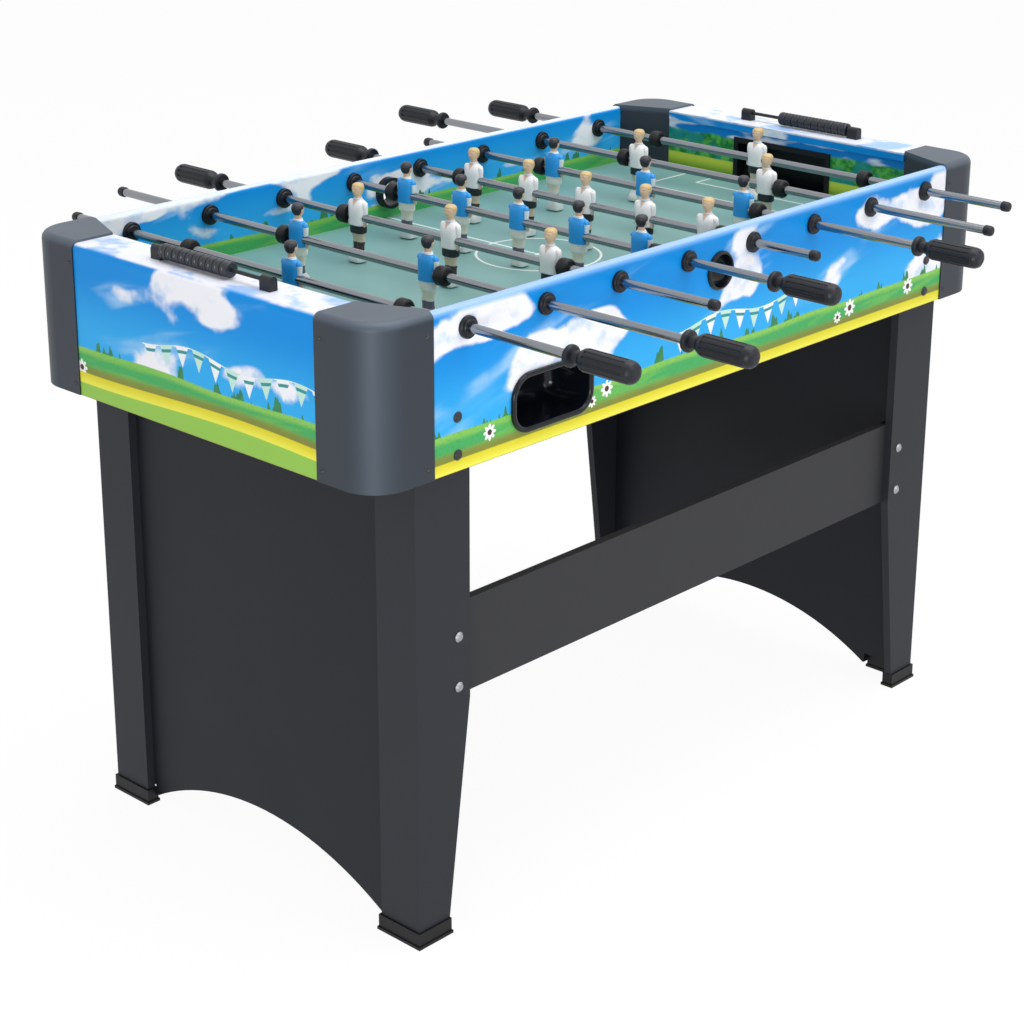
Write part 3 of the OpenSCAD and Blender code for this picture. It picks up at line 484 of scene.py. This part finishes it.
def field_build(net):
    """Green with white lines: a line is where the distance to its middle is under half its
    width, and all lines join by their maximum."""
    at = net.place()
    x, y, z = net.split(at)
    grain = net.group(grain_group, At=at, Size=0.004)

    def on_line(distance):
        return net.step(net.calc("ABSOLUTE", distance), LINE_HALF + CRISP, LINE_HALF - CRISP)

    reach = net.calc("SQRT", x * x + y * y)
    lines = on_line(reach - CIRCLE_RADIUS)
    spot = net.step(reach, SPOT_RADIUS + 0.0005, SPOT_RADIUS - 0.0005)
    lines = net.calc("MAXIMUM", lines, spot)
    far_x, far_y = net.calc("ABSOLUTE", x), net.calc("ABSOLUTE", y)
    for deep, wide in GOAL_BOXES:
        edge_x = GOAL_LINE - deep
        across = on_line(far_x - edge_x) * net.step(far_y, wide + LINE_HALF, wide)
        beside = on_line(far_y - wide) * net.step(far_x, edge_x - LINE_HALF, edge_x)
        lines = net.calc("MAXIMUM", lines, net.calc("MAXIMUM", across, beside))
    lines = net.calc("MAXIMUM", lines, on_line(x))
    green = net.mix(tint(113, 157, 154), tint(131, 173, 169), grain["Mottle"])
    face = net.mix(green, tint(236, 242, 240), 0.94 * lines)
    printed = net.step(z, FIELD_TOP - 0.001, FIELD_TOP)
    return {"Base Color": net.mix(tint(112, 82, 52), face, printed),
            "Roughness": 0.42 + 0.1 * grain["Mottle"], "Height": grain["Grain"]}


dress(finish("field_sheet", field_build, bump=0.05, Specular_IOR_Level=0.35), "playfield")

# ---- Corner caps, goal frames, ball entries, bearings and chutes --------------------------
# Injection-moulded plastic. The caps have a fine spark-eroded grain, and a painted highlight in
# lighter grey over their tops and down their rounded corners; the ball entries are glossy, and the
# bearings are plain black nylon pressed into the rails. The chutes under the field are hardboard
# painted near-black, as painted shade inside the cabinet.


def plastic(name, colour, other, size, rough, bump, specular=0.5, depth=0.0002):
    """Moulded plastic: two near colours mottled together and a grain of the given size."""
    def build(net):
        grain = net.group(grain_group, At=net.place(), Size=size)
        return {"Base Color": net.mix(colour, other, grain["Mottle"]),
                "Roughness": rough + 0.10 * (grain["Grain"] - 0.5), "Height": grain["Grain"]}
    return finish(name, build, bump=bump, depth=depth, Specular_IOR_Level=specular)


CAP_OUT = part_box("corner_caps")[1]
CAP_ROUND = 0.048
# The lighter grey of the painted highlight on the caps' tops and rounded corners.
CAP_HIGHLIGHT = tint(78, 88, 99)


def cap_build(net):
    """Charcoal plastic, with a painted highlight in lighter grey over the top and, less, down the
    rounded corner: by how far a point lies round it from the nearer flat side."""
    at = net.place()
    x, y, z = net.split(at)
    grain = net.group(grain_group, At=at, Size=0.0009)
    # Painted highlight: the top and its fillet are mixed towards lighter grey.
    top_highlight = net.step(z, CAP_OUT.z - 0.011, CAP_OUT.z - 0.003)
    # Painted highlight: lighter grey down the rounded corner, strongest at its middle.
    round_x = net.calc("ABSOLUTE", x) - (CAP_OUT.x - CAP_ROUND)
    round_y = net.calc("ABSOLUTE", y) - (CAP_OUT.y - CAP_ROUND)
    corner_highlight = net.step(net.calc("MINIMUM", round_x, round_y), -0.15 * CAP_ROUND, 0.65 * CAP_ROUND)
    colour = net.mix(tint(14, 19, 28), tint(22, 27, 36), grain["Mottle"])
    colour = net.mix(colour, CAP_HIGHLIGHT, (0.25 + 0.10 * grain["Mottle"]) * corner_highlight)
    return {"Base Color": net.mix(colour, CAP_HIGHLIGHT, (0.55 + 0.3 * grain["Mottle"]) * top_highlight),
            "Roughness": 0.52 + 0.10 * (grain["Grain"] - 0.5), "Height": grain["Grain"]}


dress(finish("cap_grain_and_sheen", cap_build, bump=0.14, Specular_IOR_Level=0.8,
             Specular_Tint=(0.74, 0.86, 1.0, 1.0)), "corner_caps")
dress(plastic("goal_black", tint(14, 15, 18), tint(20, 21, 24), 0.0008, 0.45, 0.1, 0.25),
      "goal_frame_left", "goal_frame_right")
CUP_GLOSS = plastic("cup_gloss", tint(9, 13, 20), tint(14, 18, 26), 0.02, 0.16, 0.02, 0.32)
dress(CUP_GLOSS, "ball_entry_cups")
dress(plastic("bearing_nylon", tint(14, 18, 26), tint(20, 24, 32), 0.001, 0.40, 0.1, 0.3),
      "rod_bearings")


def chute_build(net):
    """Hardboard with pressed chips, near-black as painted shade inside the cabinet."""
    at = net.place()
    grain = net.group(grain_group, At=at, Size=0.003)
    chips = net.noise(at, 0.004, 4.0, 0.7)
    # Painted shade: the hardboard is near-black so the cabinet's inside looks dark through the cups.
    return {"Base Color": net.mix(tint(30, 27, 25), tint(22, 20, 19), net.step(chips, 0.4, 0.65)),
            "Roughness": 0.6 + 0.2 * grain["Mottle"], "Height": chips}


dress(finish("chute_shaded_hardboard", chute_build, bump=0.3), "ball_chute_left", "ball_chute_right")

# ---- Ball returns -------------------------------------------------------------------------
# Deep bowls of glossy black plastic, moulded in one piece and pushed into the side rails from
# outside. The rolled rim hides the cut edge. The slot by which balls come in isn't modelled here.
MM = 0.001
# The rim's corner radii above and below, and the least that a corner shrinks to inside.
CUP_RADII, CUP_LEAST = (0.031, 0.028), 0.003
# From the back's middle round the sleeve, over the rim and down into the bowl: how far inside
# the rim's outline, and how far outside the rail's face, in millimetres.
CUP_PROFILE = ((34, -60), (20, -60), (9, -60), (6, -58.5), (5, -55), (5, -30), (5, -4), (4.9, -0.6),
               (3.6, 0), (1.2, 0.1), (0.2, 0.6), (0, 1.6), (0.1, 3.2), (1.0, 4.6), (2.6, 5.0),
               (4.6, 4.9), (6.2, 4.1), (7.2, 2.4), (7.8, -1), (8.6, -14), (9.6, -30), (11.4, -42),
               (14.6, -50), (19, -55), (25, -57.4), (34, -58))


def flow(keys, count):
    """A smooth run through rows of keys. Between two rows it is the cubic that has at each of
    them half the step between the rows on either side as its slope."""
    keys = np.array(keys, float)
    held = np.vstack([keys[:1], keys, keys[-1:]])
    at = np.linspace(0, len(keys) - 1 - 1e-9, count)
    row = at.astype(int)
    share = (at - row)[:, None]
    a, b, c, d = (held[row + step] for step in range(4))
    return 0.5 * (2 * b + (c - a) * share + (2 * a - 5 * b + 4 * c - d) * share ** 2
                  + (3 * b - a - 3 * c + d) * share ** 3)


def closed(grid):
    """A grid of rings as points and faces, each end drawn to a point at its ring's middle.
    Faces are turned outwards by the sign of the volume that they enclose."""
    rows, sides = grid.shape[:2]
    points = np.vstack([grid.reshape(-1, 3), grid[0].mean(axis=0), grid[-1].mean(axis=0)])
    index = np.arange(rows * sides).reshape(rows, sides)
    after = np.roll(index, -1, axis=1)
    walls = np.stack([index[:-1], after[:-1], after[1:], index[1:]], axis=2).reshape(-1, 4)
    first = np.stack([after[0], index[0], index[0], np.full(sides, rows * sides)], axis=1)
    last = np.stack([index[-1], after[-1], after[-1], np.full(sides, rows * sides + 1)], axis=1)
    faces = np.vstack([walls, first, last])
    a, b, c = (points[faces[:, k]] for k in range(3))
    if np.einsum("ij,ij->i", a, np.cross(b, c)).sum() < 0:
        faces = faces[:, ::-1]
    return points, faces


def bowl(side, middle, half_wide, half_high, face):
    """The profile carried round a rounded rectangle. At each angle the point is the centre of
    that corner's circle plus its radius, less the inset, but never under the least, along the
    angle."""
    rows, sides = 110, 96
    inset, proud = flow(CUP_PROFILE, rows).T[:, :, None] * MM
    turn = np.linspace(0, 2 * np.pi, sides, endpoint=False) + np.pi / sides
    across, up = np.cos(turn), np.sin(turn)
    corner = np.maximum(np.where(up > 0, *CUP_RADII) - inset, CUP_LEAST)
    x = np.sign(across) * (half_wide - inset - corner) + corner * across
    z = np.sign(up) * (half_high - inset - corner) + corner * up
    grid = np.stack([middle.x + x, side * (face + proud) + 0 * x, middle.z + z], axis=2)
    return closed(grid)


def solid_mesh(name, points, faces):
    """Points and faces as a smooth mesh whose edges over 50 degrees stay sharp."""
    mesh = bpy.data.meshes.new(name)
    mesh.from_pydata(points, [], [list(dict.fromkeys(face)) for face in faces.tolist()])
    mesh.shade_smooth()
    mesh.set_sharp_from_angle(angle=math.radians(50))
    return mesh


for side, where in ((-1, "near"), (1, "far")):
    low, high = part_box(f"return_cup_{where}")
    middle, half = (low + high) / 2, (high - low) / 2
    cup = bpy.data.objects.new(f"return_bowl_{where}", solid_mesh(
        f"return_bowl_{where}", *bowl(side, middle, half.x, half.z, RAIL_OUT)))
    bpy.context.scene.collection.objects.link(cup)
    cup.data.materials.append(CUP_GLOSS)
    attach(cup, "cabinet")
    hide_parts(f"return_cup_{where}")

# ---- Legs, panels, stretchers and feet ----------------------------------------------------
# Particle board in a charcoal foil with a faint pressed grain, cut by saw and edge-banded.
# The panels between the legs are darker. The feet are moulded shoes pushed on from below.


def leg_finish(name, colour, other):
    """Foil over board: two near colours in patches, with a grain stretched along the leg."""
    def build(net):
        at = net.place()
        x, y, z = net.split(at)
        grain = net.group(grain_group, At=at, Size=0.0011)
        press = net.noise(net.point(x, y, z * 0.12), 0.0022, 3.0, 0.6)
        shade = net.mix(colour, other, 0.6 * grain["Mottle"] + 0.4 * press)
        return {"Base Color": shade, "Roughness": 0.46 + 0.12 * grain["Mottle"],
                "Height": press + 0.5 * grain["Grain"]}
    return finish(name, build, bump=0.12, Specular_IOR_Level=0.22)


dress(leg_finish("leg_foil", tint(38, 40, 46), tint(45, 47, 53)),
      "leg_near_left", "leg_far_left", "leg_near_right", "leg_far_right")
dress(leg_finish("panel_foil", tint(22, 25, 31), tint(28, 31, 37)),
      "leg_panel_left", "leg_panel_right")
dress(leg_finish("stretcher_foil", tint(44, 45, 48), tint(52, 53, 56)), "stretchers")
dress(plastic("foot_plastic", tint(14, 14, 17), tint(20, 20, 23), 0.001, 0.45, 0.15, 0.25), "feet")

# ---- Fasteners ----------------------------------------------------------------------------
# Zinc-plated bolts hold the stretchers to the legs. The bolts and screws through the printed
# boards and the caps are black.


def bolt_build(net):
    """Zinc below the cabinet's lower edge and black above it."""
    at = net.place()
    grain = net.group(grain_group, At=at, Size=0.0015)
    black = net.step(net.split(at)[2], PANEL_LOW - 0.010, PANEL_LOW - 0.005)
    steel = net.mix(tint(150, 153, 157), tint(176, 178, 180), grain["Grain"])
    return {"Base Color": net.mix(steel, tint(30, 32, 36), black), "Metallic": 1.0 - black,
            "Roughness": 0.34 + 0.1 * grain["Mottle"], "Height": grain["Grain"]}


dress(finish("bolt_zinc", bolt_build, bump=0.08), "fasteners")

# ---- Score counters -----------------------------------------------------------------------
# Ten ribbed beads of dark plastic that slide on a wire, for each team. The wire is held by two
# black brackets on top of the end box.
dress(plastic("counter_black", tint(18, 21, 28), tint(26, 29, 36), 0.001, 0.4, 0.12, 0.35),
      "score_wires")
dress(plastic("bead_plastic", tint(26, 31, 40), tint(38, 43, 52), 0.0012, 0.30, 0.1, 0.45),
      "score_beads_left", "score_beads_right")

# ---- Rods ---------------------------------------------------------------------------------
# Drawn steel tube, chrome-plated, with faint lengthwise drawing marks. The rods slide and turn
# in the nylon bearings.


def rod_build(net):
    """Chromed steel with drawing marks: noise stretched fifty times along the rod."""
    at = net.place()
    x, y, z = net.split(at)
    drawn = net.noise(net.point(x, y * 0.02, z), 0.0012, 2.0)
    grain = net.group(grain_group, At=at, Size=0.002)
    return {"Base Color": net.mix(tint(128, 133, 139), tint(147, 151, 156), drawn),
            "Roughness": 0.12 + 0.06 * drawn + 0.05 * grain["Mottle"], "Height": drawn}


dress(finish("rod_chrome", rod_build, bump=0.04, Metallic=1.0), *[f"rod_{k}" for k in range(1, 9)])

# ---- Players ------------------------------------------------------------------------------
# Moulded plastic men, sprayed through masks: hair, face, shirt, shorts, socks and boots. Each
# is pressed on its rod at the waist. The blue team faces the right end, the white the left.
SKIN, HAIR, SHIRT, ARMS, SHORTS, LEGS, BOOTS = range(7)
# Heights on a man above his rod's axis, and his eyes' distance from his middle, in millimetres.
EYE_SIDE, EYE_UP, BROW_UP, LIPS_UP = 2.8, 38.4, 40.5, 33.3
COLLAR_LOW, HEM, CUFF = 23.7, -9.8, -5.6
SOCK_BAND, SOCK_TOP = -33.6, -35.0


def ring(power, sides):
    """Cosine and sine round a superellipse: each to the power 2 / power, with its sign kept."""
    turn = np.linspace(0, 2 * np.pi, sides, endpoint=False) + np.pi / sides
    across, along = np.cos(turn), np.sin(turn)
    return (np.sign(across) * np.abs(across) ** (2 / power),
            np.sign(along) * np.abs(along) ** (2 / power))


def stack(keys, count=24, sides=32):
    """Level superellipse rings, one above another. A key is the ring's middle x, its height,
    its half depth and half width, and its power."""
    mid, high, deep, wide, power = flow(keys, count).T[:, :, None]
    across, along = ring(power, sides)
    return np.stack([mid + deep * across, wide * along, high + 0 * across], axis=2)


def limb(keys, count=22, sides=18):
    """A round tube along a smooth path. A key is a point of the path and the radius there;
    each ring lies across the path, turned from the X axis."""
    run = flow(keys, count)
    ahead = np.gradient(run[:, :3], axis=0)
    ahead /= np.linalg.norm(ahead, axis=1)[:, None]
    front = np.cross(np.cross(ahead, (1.0, 0.0, 0.0)), ahead)
    side = np.cross(ahead, front)
    size = np.linalg.norm(front, axis=1)[:, None]
    across, along = ring(2.0, sides)
    return run[:, None, :3] + run[:, None, 3:] * (
        across[:, None] * (front / size)[:, None] + along[:, None] * (side / size)[:, None])


def bell(value, middle, width):
    """A smooth bump: e to the power of minus the squared distance over the squared width."""
    return np.exp(-((value - middle) / width) ** 2)


def rise(value, low, high):
    """0 below low, 1 above high and the cubic 3 s^2 - 2 s^3 between them."""
    share = np.clip((value - low) / (high - low), 0, 1)
    return share ** 2 * (3 - 2 * share)


def man_parts():
    """One player about his rod's axis in millimetres, facing +X, as (grid, material) pairs.
    The shirt is folded by a small sine of height and width; shorts, legs and boots are pinched
    in the middle by a bump of the width."""
    shirt = stack([(0, -11.0, 7.0, 11.6, 2.6), (0, -10.6, 9.0, 13.2, 2.6), (0, -9.6, 9.6, 13.8, 2.6),
                   (0, -4, 9.8, 13.4, 2.5), (0.2, 4, 10.0, 13.6, 2.5), (0.3, 11, 9.9, 14.0, 2.4),
                   (0.1, 17, 8.8, 14.0, 2.4), (-0.2, 21, 7.0, 12.4, 2.3), (-0.3, 23.4, 5.6, 8.8, 2.1),
                   (-0.2, 25.0, 5.0, 5.8, 2.0), (-0.2, 25.6, 3.4, 3.8, 2.0)], 44, 48)
    fold = np.sin(shirt[:, :, 2] * 0.9 + np.abs(shirt[:, :, 1]) * 0.7)
    shirt[:, :, 0] += 0.25 * np.sign(shirt[:, :, 0]) * fold * bell(shirt[:, :, 2], -4, 7)

    collar = stack([(0, 23.6, 4.8, 5.4, 2), (0, 24.0, 5.9, 6.6, 2), (0, 25.4, 5.8, 6.3, 2),
                    (0, 26.4, 5.2, 5.6, 2), (0, 26.2, 4.4, 4.8, 2)], 14, 32)
    neck = stack([(-0.2, 21, 4.7, 4.9, 2), (-0.1, 27, 4.5, 4.6, 2), (0, 33, 4.5, 4.5, 2)], 8, 24)

    shorts = stack([(0, -21.6, 7.0, 10.2, 2.8), (0, -21.2, 8.2, 11.6, 2.8), (0, -18, 8.6, 12.0, 2.8),
                    (0, -13, 8.6, 11.9, 2.7), (0, -9, 8.2, 11.4, 2.6), (0, -8, 6.0, 9.0, 2.5)], 24, 48)
    cleft = bell(shorts[:, :, 1], 0, 1.2) * (1 - rise(shorts[:, :, 2], -20, -14))
    shorts[:, :, 0] *= 1 - 0.22 * cleft

    legs = stack([(0.2, -48.5, 5.2, 9.2, 3.0), (0.2, -44, 5.0, 8.9, 2.8), (-0.2, -40, 4.9, 8.7, 2.6),
                  (-0.6, -34, 5.4, 9.2, 2.5), (0, -29, 5.3, 9.3, 2.5), (0.2, -25, 5.8, 10.0, 2.5),
                  (0, -19, 6.6, 10.8, 2.5)], 34, 48)
    legs[:, :, 0] *= 1 - 0.34 * bell(legs[:, :, 1], 0, 1.5)

    boots = stack([(2.4, -60.2, 8.0, 9.6, 4.0), (2.7, -60.1, 9.2, 10.8, 4.2),
                   (2.8, -58.8, 9.8, 11.2, 4.2), (2.6, -54.5, 9.7, 11.2, 4.0),
                   (1.7, -50.5, 8.5, 10.7, 3.6), (0.8, -47.6, 6.8, 10.0, 3.2),
                   (0.4, -45.6, 5.8, 9.5, 3.0), (0.3, -45.2, 4.6, 8.2, 2.8)], 30, 48)
    boots[:, :, 0] *= 1 - 0.12 * bell(boots[:, :, 1], 0, 1.1)

    arms = [limb([(0, 10.2 * side, 20.4, 2.4), (0, 12.2 * side, 18.8, 4.3),
                  (0.2, 13.6 * side, 14.4, 3.9), (0, 13.6 * side, 7.5, 3.4),
                  (0, 13.8 * side, 3.0, 3.1), (0.8, 14.0 * side, -3.0, 2.9),
                  (1.8, 14.1 * side, -7.4, 2.7), (2.3, 14.1 * side, -10.4, 2.3),
                  (2.5, 14.0 * side, -11.8, 0.9)]) for side in (-1, 1)]
    return [(shirt, SHIRT), (collar, SHIRT), (neck, SKIN), (shorts, SHORTS), (legs, LEGS),
            (boots, BOOTS), (arms[0], ARMS), (arms[1], ARMS), *head_parts()]


def head_parts():
    """The head and its hair: rings from chin to crown, with a plain brow, nose, lips and ears
    added as bumps; the hair is a wider copy that dips inside the head below its hairline."""
    shape = [(1.4, 29.5, 2.4, 2.4, 2.0), (1.2, 29.8, 4.2, 4.0, 2.0), (0.9, 31.2, 5.8, 5.3, 2.0),
             (0.4, 33.6, 7.2, 6.5, 2.1), (0, 36.8, 7.9, 7.4, 2.1), (-0.2, 40.1, 8.2, 7.8, 2.0),
             (-0.3, 43.1, 7.3, 7.0, 2.0), (-0.3, 45.1, 5.0, 4.8, 2.0), (-0.3, 45.9, 1.8, 1.8, 2.0)]
    head = stack(shape, 56, 64)
    x, y, z = head[:, :, 0], head[:, :, 1], head[:, :, 2]
    front = rise(x, 1.5, 4.5)
    brow = 0.32 * bell(z, 39.8, 0.8) * bell(y, 0, 5.0)
    nose = 1.3 * bell(y, 0, 1.05) * rise(z, 34.9, 35.7) * (1 - rise(z, 35.9, 39.6))
    socket = -0.5 * bell(np.abs(y), EYE_SIDE, 1.3) * bell(z, EYE_UP, 1.0)
    mouth = 0.30 * bell(z, LIPS_UP, 0.5) * bell(y, 0, 1.9) + 0.4 * bell(z, 30.9, 0.9) * bell(y, 0, 2.0)
    ear = bell(x, 0.0, 1.1) * bell(z, 37.2, 1.7) * 0.9
    head[:, :, 0] = x + front * (brow + nose + socket + mouth)
    head[:, :, 1] = y + np.sign(y) * ear
    middle = np.array([-0.3, 0, 37.9])
    hair = stack(shape, 48, 64)
    x, y, z = hair[:, :, 0], hair[:, :, 1], hair[:, :, 2]
    line = 42.0 - 3.6 * rise(-x, -5.2, -1.7) - 7.6 * rise(-x, -1.0, 2.6)
    line = line + 0.35 * np.sin(y * 2.2)
    cover = rise(z, line - 0.5, line + 0.5)
    lock = 0.10 * np.sin(7 * np.arctan2(y, x + 0.3) + z * 0.9)
    reach = 0.93 + (0.115 + 0.012 * lock) * cover
    hair = middle + (hair - middle) * reach[:, :, None]
    hair[:, :, 2] = np.minimum(hair[:, :, 2], 46.4)
    return [(head, SKIN), (hair, HAIR)]


def team_mesh(name, rod, facing, places):
    """One mesh for the men of a rod: every man is the same grids, turned by facing about Z and
    put at his place along the rod. The attribute "figure" keeps each man's own coordinates."""
    points, faces, kinds, own = [], [], [], []
    start = 0
    for place in places:
        for grid, kind in man_parts():
            local, quads = closed(grid)
            points.append(local * MM * (facing, facing, 1) + (rod[0], place, rod[1]))
            faces.append(quads + start)
            kinds.append(np.full(len(quads), kind))
            own.append(local * MM)
            start += len(local)
    mesh = solid_mesh(name, np.vstack(points), np.vstack(faces))
    mesh.polygons.foreach_set("material_index", np.concatenate(kinds))
    mesh.attributes.new("figure", "FLOAT_VECTOR", "POINT").data.foreach_set(
        "vector", np.vstack(own).ravel())
    return mesh


def paint(name, layout, rough=0.34):
    """Sprayed enamel on plastic, a little faded in patches: layout(net, x, y, z) gives the
    colour at a place on the man, in millimetres."""
    def build(net):
        own = net.split(net.node("Attribute", {}, out=1, attribute_name="figure"))
        grain = net.group(grain_group, At=net.place(), Size=0.0014)
        fade = 0.94 + 0.09 * grain["Mottle"]
        faded = net.node("CombineColor", {0: fade, 1: fade, 2: fade})
        colour = net.node("Mix", {0: 1.0, 6: layout(net, *[part / MM for part in own]), 7: faded},
                          out=2, data_type="RGBA", blend_type="MULTIPLY")
        return {"Base Color": colour, "Roughness": rough + 0.10 * grain["Mottle"],
                "Height": grain["Grain"]}
    return finish(name, build, bump=0.06)


def below(net, z, level):
    """1 below a level of the man, with an edge a third of a millimetre wide."""
    return net.step(z, level + 0.15, level - 0.15)


def bar(net, value, middle, half):
    """1 within a distance of a middle, with a soft edge inside it."""
    return net.step(net.calc("ABSOLUTE", value - middle), half, half - 0.15)


def face_layout(skin, hair):
    """Skin with plain brows, lips and eyes, all on the front of the head."""
    def layout(net, x, y, z):
        away = net.calc("ABSOLUTE", y)
        front = net.step(x, 3.0, 3.6)
        eye = net.calc("SQRT", (away - EYE_SIDE) ** 2 + ((z - EYE_UP) * 1.5) ** 2)
        brow = bar(net, z + away * 0.12, BROW_UP, 0.40) \
            * net.step(away, 1.1, 1.4) * net.step(away, 4.2, 3.8)
        lips = bar(net, z, LIPS_UP, 0.40) * net.step(away, 1.7, 1.4)
        colour = net.mix(skin, tint(186, 96, 84), 0.8 * front * lips)
        colour = net.mix(colour, hair, 0.85 * front * brow)
        colour = net.mix(colour, tint(240, 238, 234), front * net.step(eye, 1.10, 0.95))
        return net.mix(colour, tint(40, 34, 32), front * net.step(eye, 0.60, 0.50))
    return layout


def shirt_layout(main, trim, skin):
    """Shirt with an open V at the throat, a trim along it and a thin trim at the hem."""
    def layout(net, x, y, z):
        front = net.step(x, 1.0, 1.6)
        throat = net.calc("ABSOLUTE", y) * 1.9 + 16.4
        colour = net.mix(main, trim, 0.9 * front * net.step(z, throat - 1.7, throat - 1.4))
        colour = net.mix(colour, skin, front * net.step(z, throat - 0.15, throat + 0.15))
        colour = net.mix(colour, trim, net.step(z, COLLAR_LOW, COLLAR_LOW + 0.2))
        return net.mix(colour, trim, below(net, z, HEM))
    return layout


def sleeve_layout(main, trim, skin, seam):
    """The shirt's colour down to the seam, the trim down to the cuff and the hand below."""
    def layout(net, x, y, z):
        return net.mix(net.mix(main, trim, below(net, z, seam)), skin, below(net, z, CUFF))
    return layout


def leg_layout(skin, sock, band):
    """Bare legs, then a band at the top of the socks, and the socks."""
    def layout(net, x, y, z):
        banded = net.mix(skin, band, below(net, z, SOCK_BAND))
        return net.mix(banded, sock, below(net, z, SOCK_TOP))
    return layout


def plain_layout(main):
    """One colour, a little darker in patches of about a centimetre."""
    def layout(net, x, y, z):
        return net.mix(main, (0, 0, 0, 1), 0.16 * net.noise(net.point(x, y, z), 8.0, 3.0))
    return layout


def enamels(name, skin, hair, shirt, trim, arm, seam, shorts, leg, sock, band, boot):
    """The seven paints of one team, in the order of the part numbers."""
    return [paint(name + "_skin", face_layout(skin, hair)),
            paint(name + "_hair", plain_layout(hair), 0.40),
            paint(name + "_shirt", shirt_layout(shirt, trim, skin)),
            paint(name + "_arms", sleeve_layout(shirt, trim, arm, seam)),
            paint(name + "_shorts", plain_layout(shorts)),
            paint(name + "_legs", leg_layout(leg, sock, band)),
            paint(name + "_boots", plain_layout(boot))]


TEAMS = {
    1: enamels("blue", skin=tint(226, 190, 160), hair=tint(34, 36, 44), shirt=tint(34, 156, 234),
               trim=tint(226, 238, 244), arm=tint(222, 200, 176), seam=16.5, shorts=tint(252, 249, 240),
               leg=tint(240, 232, 214), sock=tint(112, 100, 118), band=tint(226, 232, 236),
               boot=tint(236, 240, 238)),
    -1: enamels("white", skin=tint(230, 196, 164), hair=tint(222, 192, 136), shirt=tint(252, 250, 251),
                trim=tint(214, 222, 232), arm=tint(226, 196, 170), seam=-3.8, shorts=tint(26, 30, 36),
                leg=tint(224, 202, 178), sock=tint(66, 52, 50), band=tint(32, 32, 36),
                boot=tint(236, 240, 238))}
# How many men each rod has, from the left end, and which way they face: 1 to the right end.
ROWS = ((1, 1), (2, 1), (3, -1), (5, 1), (5, -1), (3, 1), (2, -1), (1, -1))
man_wide = (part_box("players_1")[1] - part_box("players_1")[0]).y
for k, (count, facing) in enumerate(ROWS, 1):
    low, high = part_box(f"players_{k}")
    axis = (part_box(f"rod_{k}")[0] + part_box(f"rod_{k}")[1]) / 2
    men = bpy.data.objects.new(f"men_{k}", team_mesh(
        f"men_{k}", (axis.x, axis.z), facing,
        np.linspace(low.y + man_wide / 2, high.y - man_wide / 2, count)))
    bpy.context.scene.collection.objects.link(men)
    for enamel in TEAMS[facing]:
        men.data.materials.append(enamel)
    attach(men, f"player_rod_{k}")
    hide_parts(f"players_{k}")

# ---- Handles and bumpers ------------------------------------------------------------------
# Ribbed handles and end caps of soft black plastic, and rubber rings that stop the rods.
dress(plastic("grip_black", tint(16, 19, 27), tint(24, 27, 35), 0.0010, 0.42, 0.12, 0.35),
      *[f"grip_{k}" for k in range(1, 9)])
dress(plastic("bumper_rubber", tint(14, 15, 18), tint(21, 22, 25), 0.0010, 0.50, 0.2, 0.3),
      *[f"bumpers_{k}" for k in range(1, 9)])

# ---- Sizes --------------------------------------------------------------------------------
# The box of the dressed table.
low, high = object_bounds()
